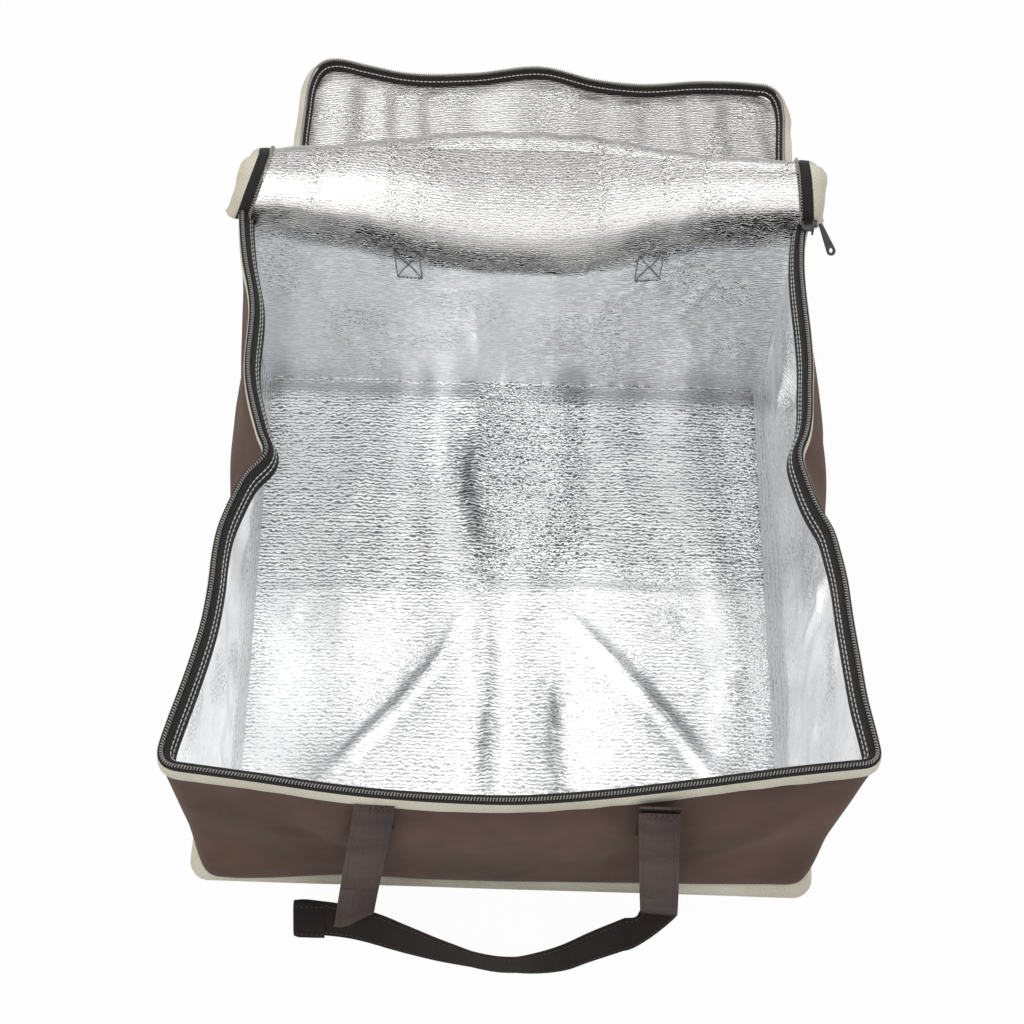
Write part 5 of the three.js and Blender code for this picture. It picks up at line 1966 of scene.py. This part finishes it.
@dataclass
class CrossSeams:
    """The boxed crosses of thread that hold the straps' ends, as they show on the lining."""

    wardrobe: Wardrobe
    name: str
    on_wall: Callable[[Sequence[tuple[float, float]]], tuple[Array, Array]]

    def build(self, box: tuple[float, float, float, float], node: str) -> None:
        """Sews one box with its cross.

        Args:
            box: Left, right, bottom and top of the box.
            node: The solid that it stands for.
        """
        left, right, low, high = box
        a, b, c, d = (left, low), (right, low), (right, high), (left, high)
        rows = []
        for line in ((a, b), (b, c), (c, d), (d, a), (a, c), (b, d)):
            points, facing = self.on_wall(line)
            rows.append(stitches(points + facing * 0.35, facing, *CROSS_STITCH))
        placed(self.name, gathered(rows), self.wardrobe.grey_thread, "bag",
               (node,))


# Studio


@dataclass
class Studio:
    """Pale floor, soft light and the camera at the photograph's angle."""

    camera_at: tuple[float, float, float] = (23.07, -678.33, 1301.67)
    pitch: float = math.radians(59.69)
    yaw: float = math.radians(-1.8)
    lens: float = 70.3125
    sky: float = 0.5

    def background(self) -> None:
        """World: white to the camera and in mirrors, and a softer grey as light."""
        world = bpy.data.worlds.new("pale_room")
        bpy.context.scene.world = world
        world.use_nodes = True
        tree = world.node_tree
        tree.nodes.clear()
        seen = self.seen(tree)
        white = put(tree, "ShaderNodeBackground", {"Color": (1, 1, 1, 1), "Strength": 1.0})
        light = put(tree, "ShaderNodeBackground", {"Color": (1, 1, 1, 1), "Strength": self.sky})
        both = put(tree, "ShaderNodeMixShader",
                   links={0: seen, 1: light.outputs[0], 2: white.outputs[0]})
        put(tree, "ShaderNodeOutputWorld", links={"Surface": both.outputs[0]})

    def seen(self, tree: bpy.types.NodeTree) -> bpy.types.NodeSocket:
        """One for rays from the camera, from a mirror or through glass."""
        path = put(tree, "ShaderNodeLightPath").outputs
        mirror = sums(tree, "MAXIMUM", path["Is Camera Ray"], path["Is Glossy Ray"])
        return sums(tree, "MAXIMUM", mirror, path["Is Transmission Ray"])

    def floor(self) -> None:
        """Matt white paper: where it is seen, part of it shines and the rest takes shadow."""
        made, tree, out = fresh("matt_white_paper")
        paper = put(tree, "ShaderNodeBsdfDiffuse", {"Color": linear("f4f4f4")})
        glow = put(tree, "ShaderNodeEmission", {"Color": (1, 1, 1, 1), "Strength": 1.0})
        share = sums(tree, "MULTIPLY", self.seen(tree), 0.96)
        both = put(tree, "ShaderNodeMixShader",
                   links={0: share, 1: paper.outputs[0], 2: glow.outputs[0]})
        tree.links.new(both.outputs[0], out.inputs["Surface"])
        across = np.linspace(-6000, 6000, 3)
        x, y = np.meshgrid(across, across)
        top = np.stack([x, y, np.full_like(x, -0.6)], -1)
        low = np.stack([x, y, np.full_like(x, -4.0)], -1)
        piece("floor", slab(top, low, np.stack([x, y], -1)), made)

    def lamp(self, name: str, at: tuple[float, float, float], size: float, power: float) -> None:
        """A square soft lamp that faces the bag."""
        light = bpy.data.lights.new(name, "AREA")
        light.size, light.energy = size, power
        lamp = bpy.data.objects.new(name, light)
        lamp.location = at
        towards = Vector((0, 0.1, 0.1)) - Vector(at)
        lamp.rotation_euler = towards.to_track_quat("-Z", "Y").to_euler()
        bpy.context.scene.collection.objects.link(lamp)

    def camera(self) -> None:
        """The camera, from its place, its pitch below the horizon and its turn to the right."""
        cos_p, sin_p, cos_y, sin_y = (
            math.cos(self.pitch), math.sin(self.pitch), math.cos(self.yaw), math.sin(self.yaw)
        )
        right = Vector((cos_y, -sin_y, 0))
        ahead = Vector((sin_y * cos_p, cos_y * cos_p, -sin_p))
        up = right.cross(ahead)
        turn = Matrix((right, up, -ahead)).transposed().to_4x4()
        eye = bpy.data.cameras.new("photo_camera")
        eye.lens, eye.sensor_width = self.lens, 36.0
        eye.clip_start, eye.clip_end = 0.05, 60.0
        camera = bpy.data.objects.new("photo_camera", eye)
        camera.matrix_world = Matrix.Translation(Vector(self.camera_at) * MM) @ turn
        bpy.context.scene.collection.objects.link(camera)
        bpy.context.scene.camera = camera

    def build(self) -> None:
        """Sets the room, its light and its camera."""
        self.background()
        self.floor()
        self.lamp("lamp_over_left", (-1.2, -0.5, 2.0), 1.6, 17)
        self.lamp("lamp_over_right", (1.3, -0.2, 1.9), 1.4, 9)
        self.lamp("lamp_behind", (0.1, 1.9, 1.5), 1.2, 8)
        self.camera()
        bpy.context.scene.view_settings.view_transform = "Standard"


# The whole bag


def front_strap(wardrobe: Wardrobe) -> Strap:
    """The front strap, as it lies in front of the bag."""
    course = ((168, 229.2), (177, 229.7), (182.5, 230.3), (184.2, 231.2), (183, 232.1),
              (176, 232.6), (120, 235.4), (60, 238.6), (40, 240.2), (20, 243.5), (0, 247.8))
    left = Leg("left", -73.5, -98, -1, course, (-82.5, -64.5, 131.5, 169.5))
    upright = course[:-3] + ((40, 237), (20, 233.5), (0, 230))
    right = Leg("right", 97, 108, 1, upright, (88, 106, 131.5, 169.5), swings=True)
    loop = ((-116, 243.5), (-128, 243.6), (-135, 243.2), (-137, 242.2), (-133, 241.4), (-118, 242),
            (-98, 244.4), (-78, 249.5), (-60, 255.5), (-32, 264), (5, 271), (43, 265),
            (63, 256), (84, 247))
    leans = ((0, 0.8), (0.12, 0.8), (0.34, 0.62), (0.58, 0.1), (0.7, 0.1), (0.85, 0.5), (1, 0.7))
    return Strap(wardrobe, "front_strap", -1, (left, right), loop, 178.463, 141, 187, (227.4, 228),
                 leans=leans)


def rear_strap(wardrobe: Wardrobe) -> Strap:
    """The rear strap, behind the bag and under the lid's slope."""
    course = ((176, 214.2), (186, 214.6), (191.5, 215.2), (193.2, 216.1), (192, 217), (185, 217.4),
              (120, 219), (60, 221), (20, 222.4), (0, 223))
    left = Leg("left", -78, -90, -1, course, (-87, -69, 140.4, 178.4))
    right = Leg("right", 93, 102, 1, course, (84, 102, 140.4, 178.4))
    loop = ((-108, 225), (-116, 225.2), (-121, 226.4), (-122, 228.4), (-118, 230), (-100, 232.4),
            (-60, 240), (-25, 248.5), (6, 252.5), (40, 248), (75, 239.5), (108, 232),
            (120, 229.8), (124, 228.2), (122.5, 226.4), (116, 225))
    return Strap(wardrobe, "rear_strap", 1, (left, right), loop, 187.4, 150, 193, (213, 213.4))


def corners(box: tuple[Vector, Vector]) -> list[list[float]]:
    """A box as plain lists of numbers."""
    return [[float(value) for value in corner] for corner in box]


def main() -> None:
    """Builds the bag's parts in order and reports each piece."""
    logging.basicConfig(level=logging.INFO, format="%(message)s")
    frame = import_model()
    studio = Studio()
    studio.build()
    wardrobe = Wardrobe()
    walls = Walls(wardrobe)
    walls.build()
    Base(wardrobe, walls).build()
    ZipEdge(wardrobe, "rim_edge", walls.track(), RIM_ZIP).build(
        "bag", ("rim_binding",), ("rim_zip_tape",), ("rim_zip_coil",))
    lid = Lid(wardrobe, walls)
    lid.build()
    for strap, on_wall in ((front_strap(wardrobe), walls.seam_on_wall),
                           (rear_strap(wardrobe), lid.seam_on_wall)):
        strap.build()
        for leg in strap.legs:
            CrossSeams(wardrobe, f"{strap.name}_{leg.label}_cross", on_wall).build(
                leg.box, f"{strap.name}_{leg.label}_stitching")
    for node in ("zip_slider", "zip_pull", "zip_end_stop"):
        for slot in frame["nodes"][node].material_slots:
            slot.material = wardrobe.enamel


if __name__ == "__main__":
    main()
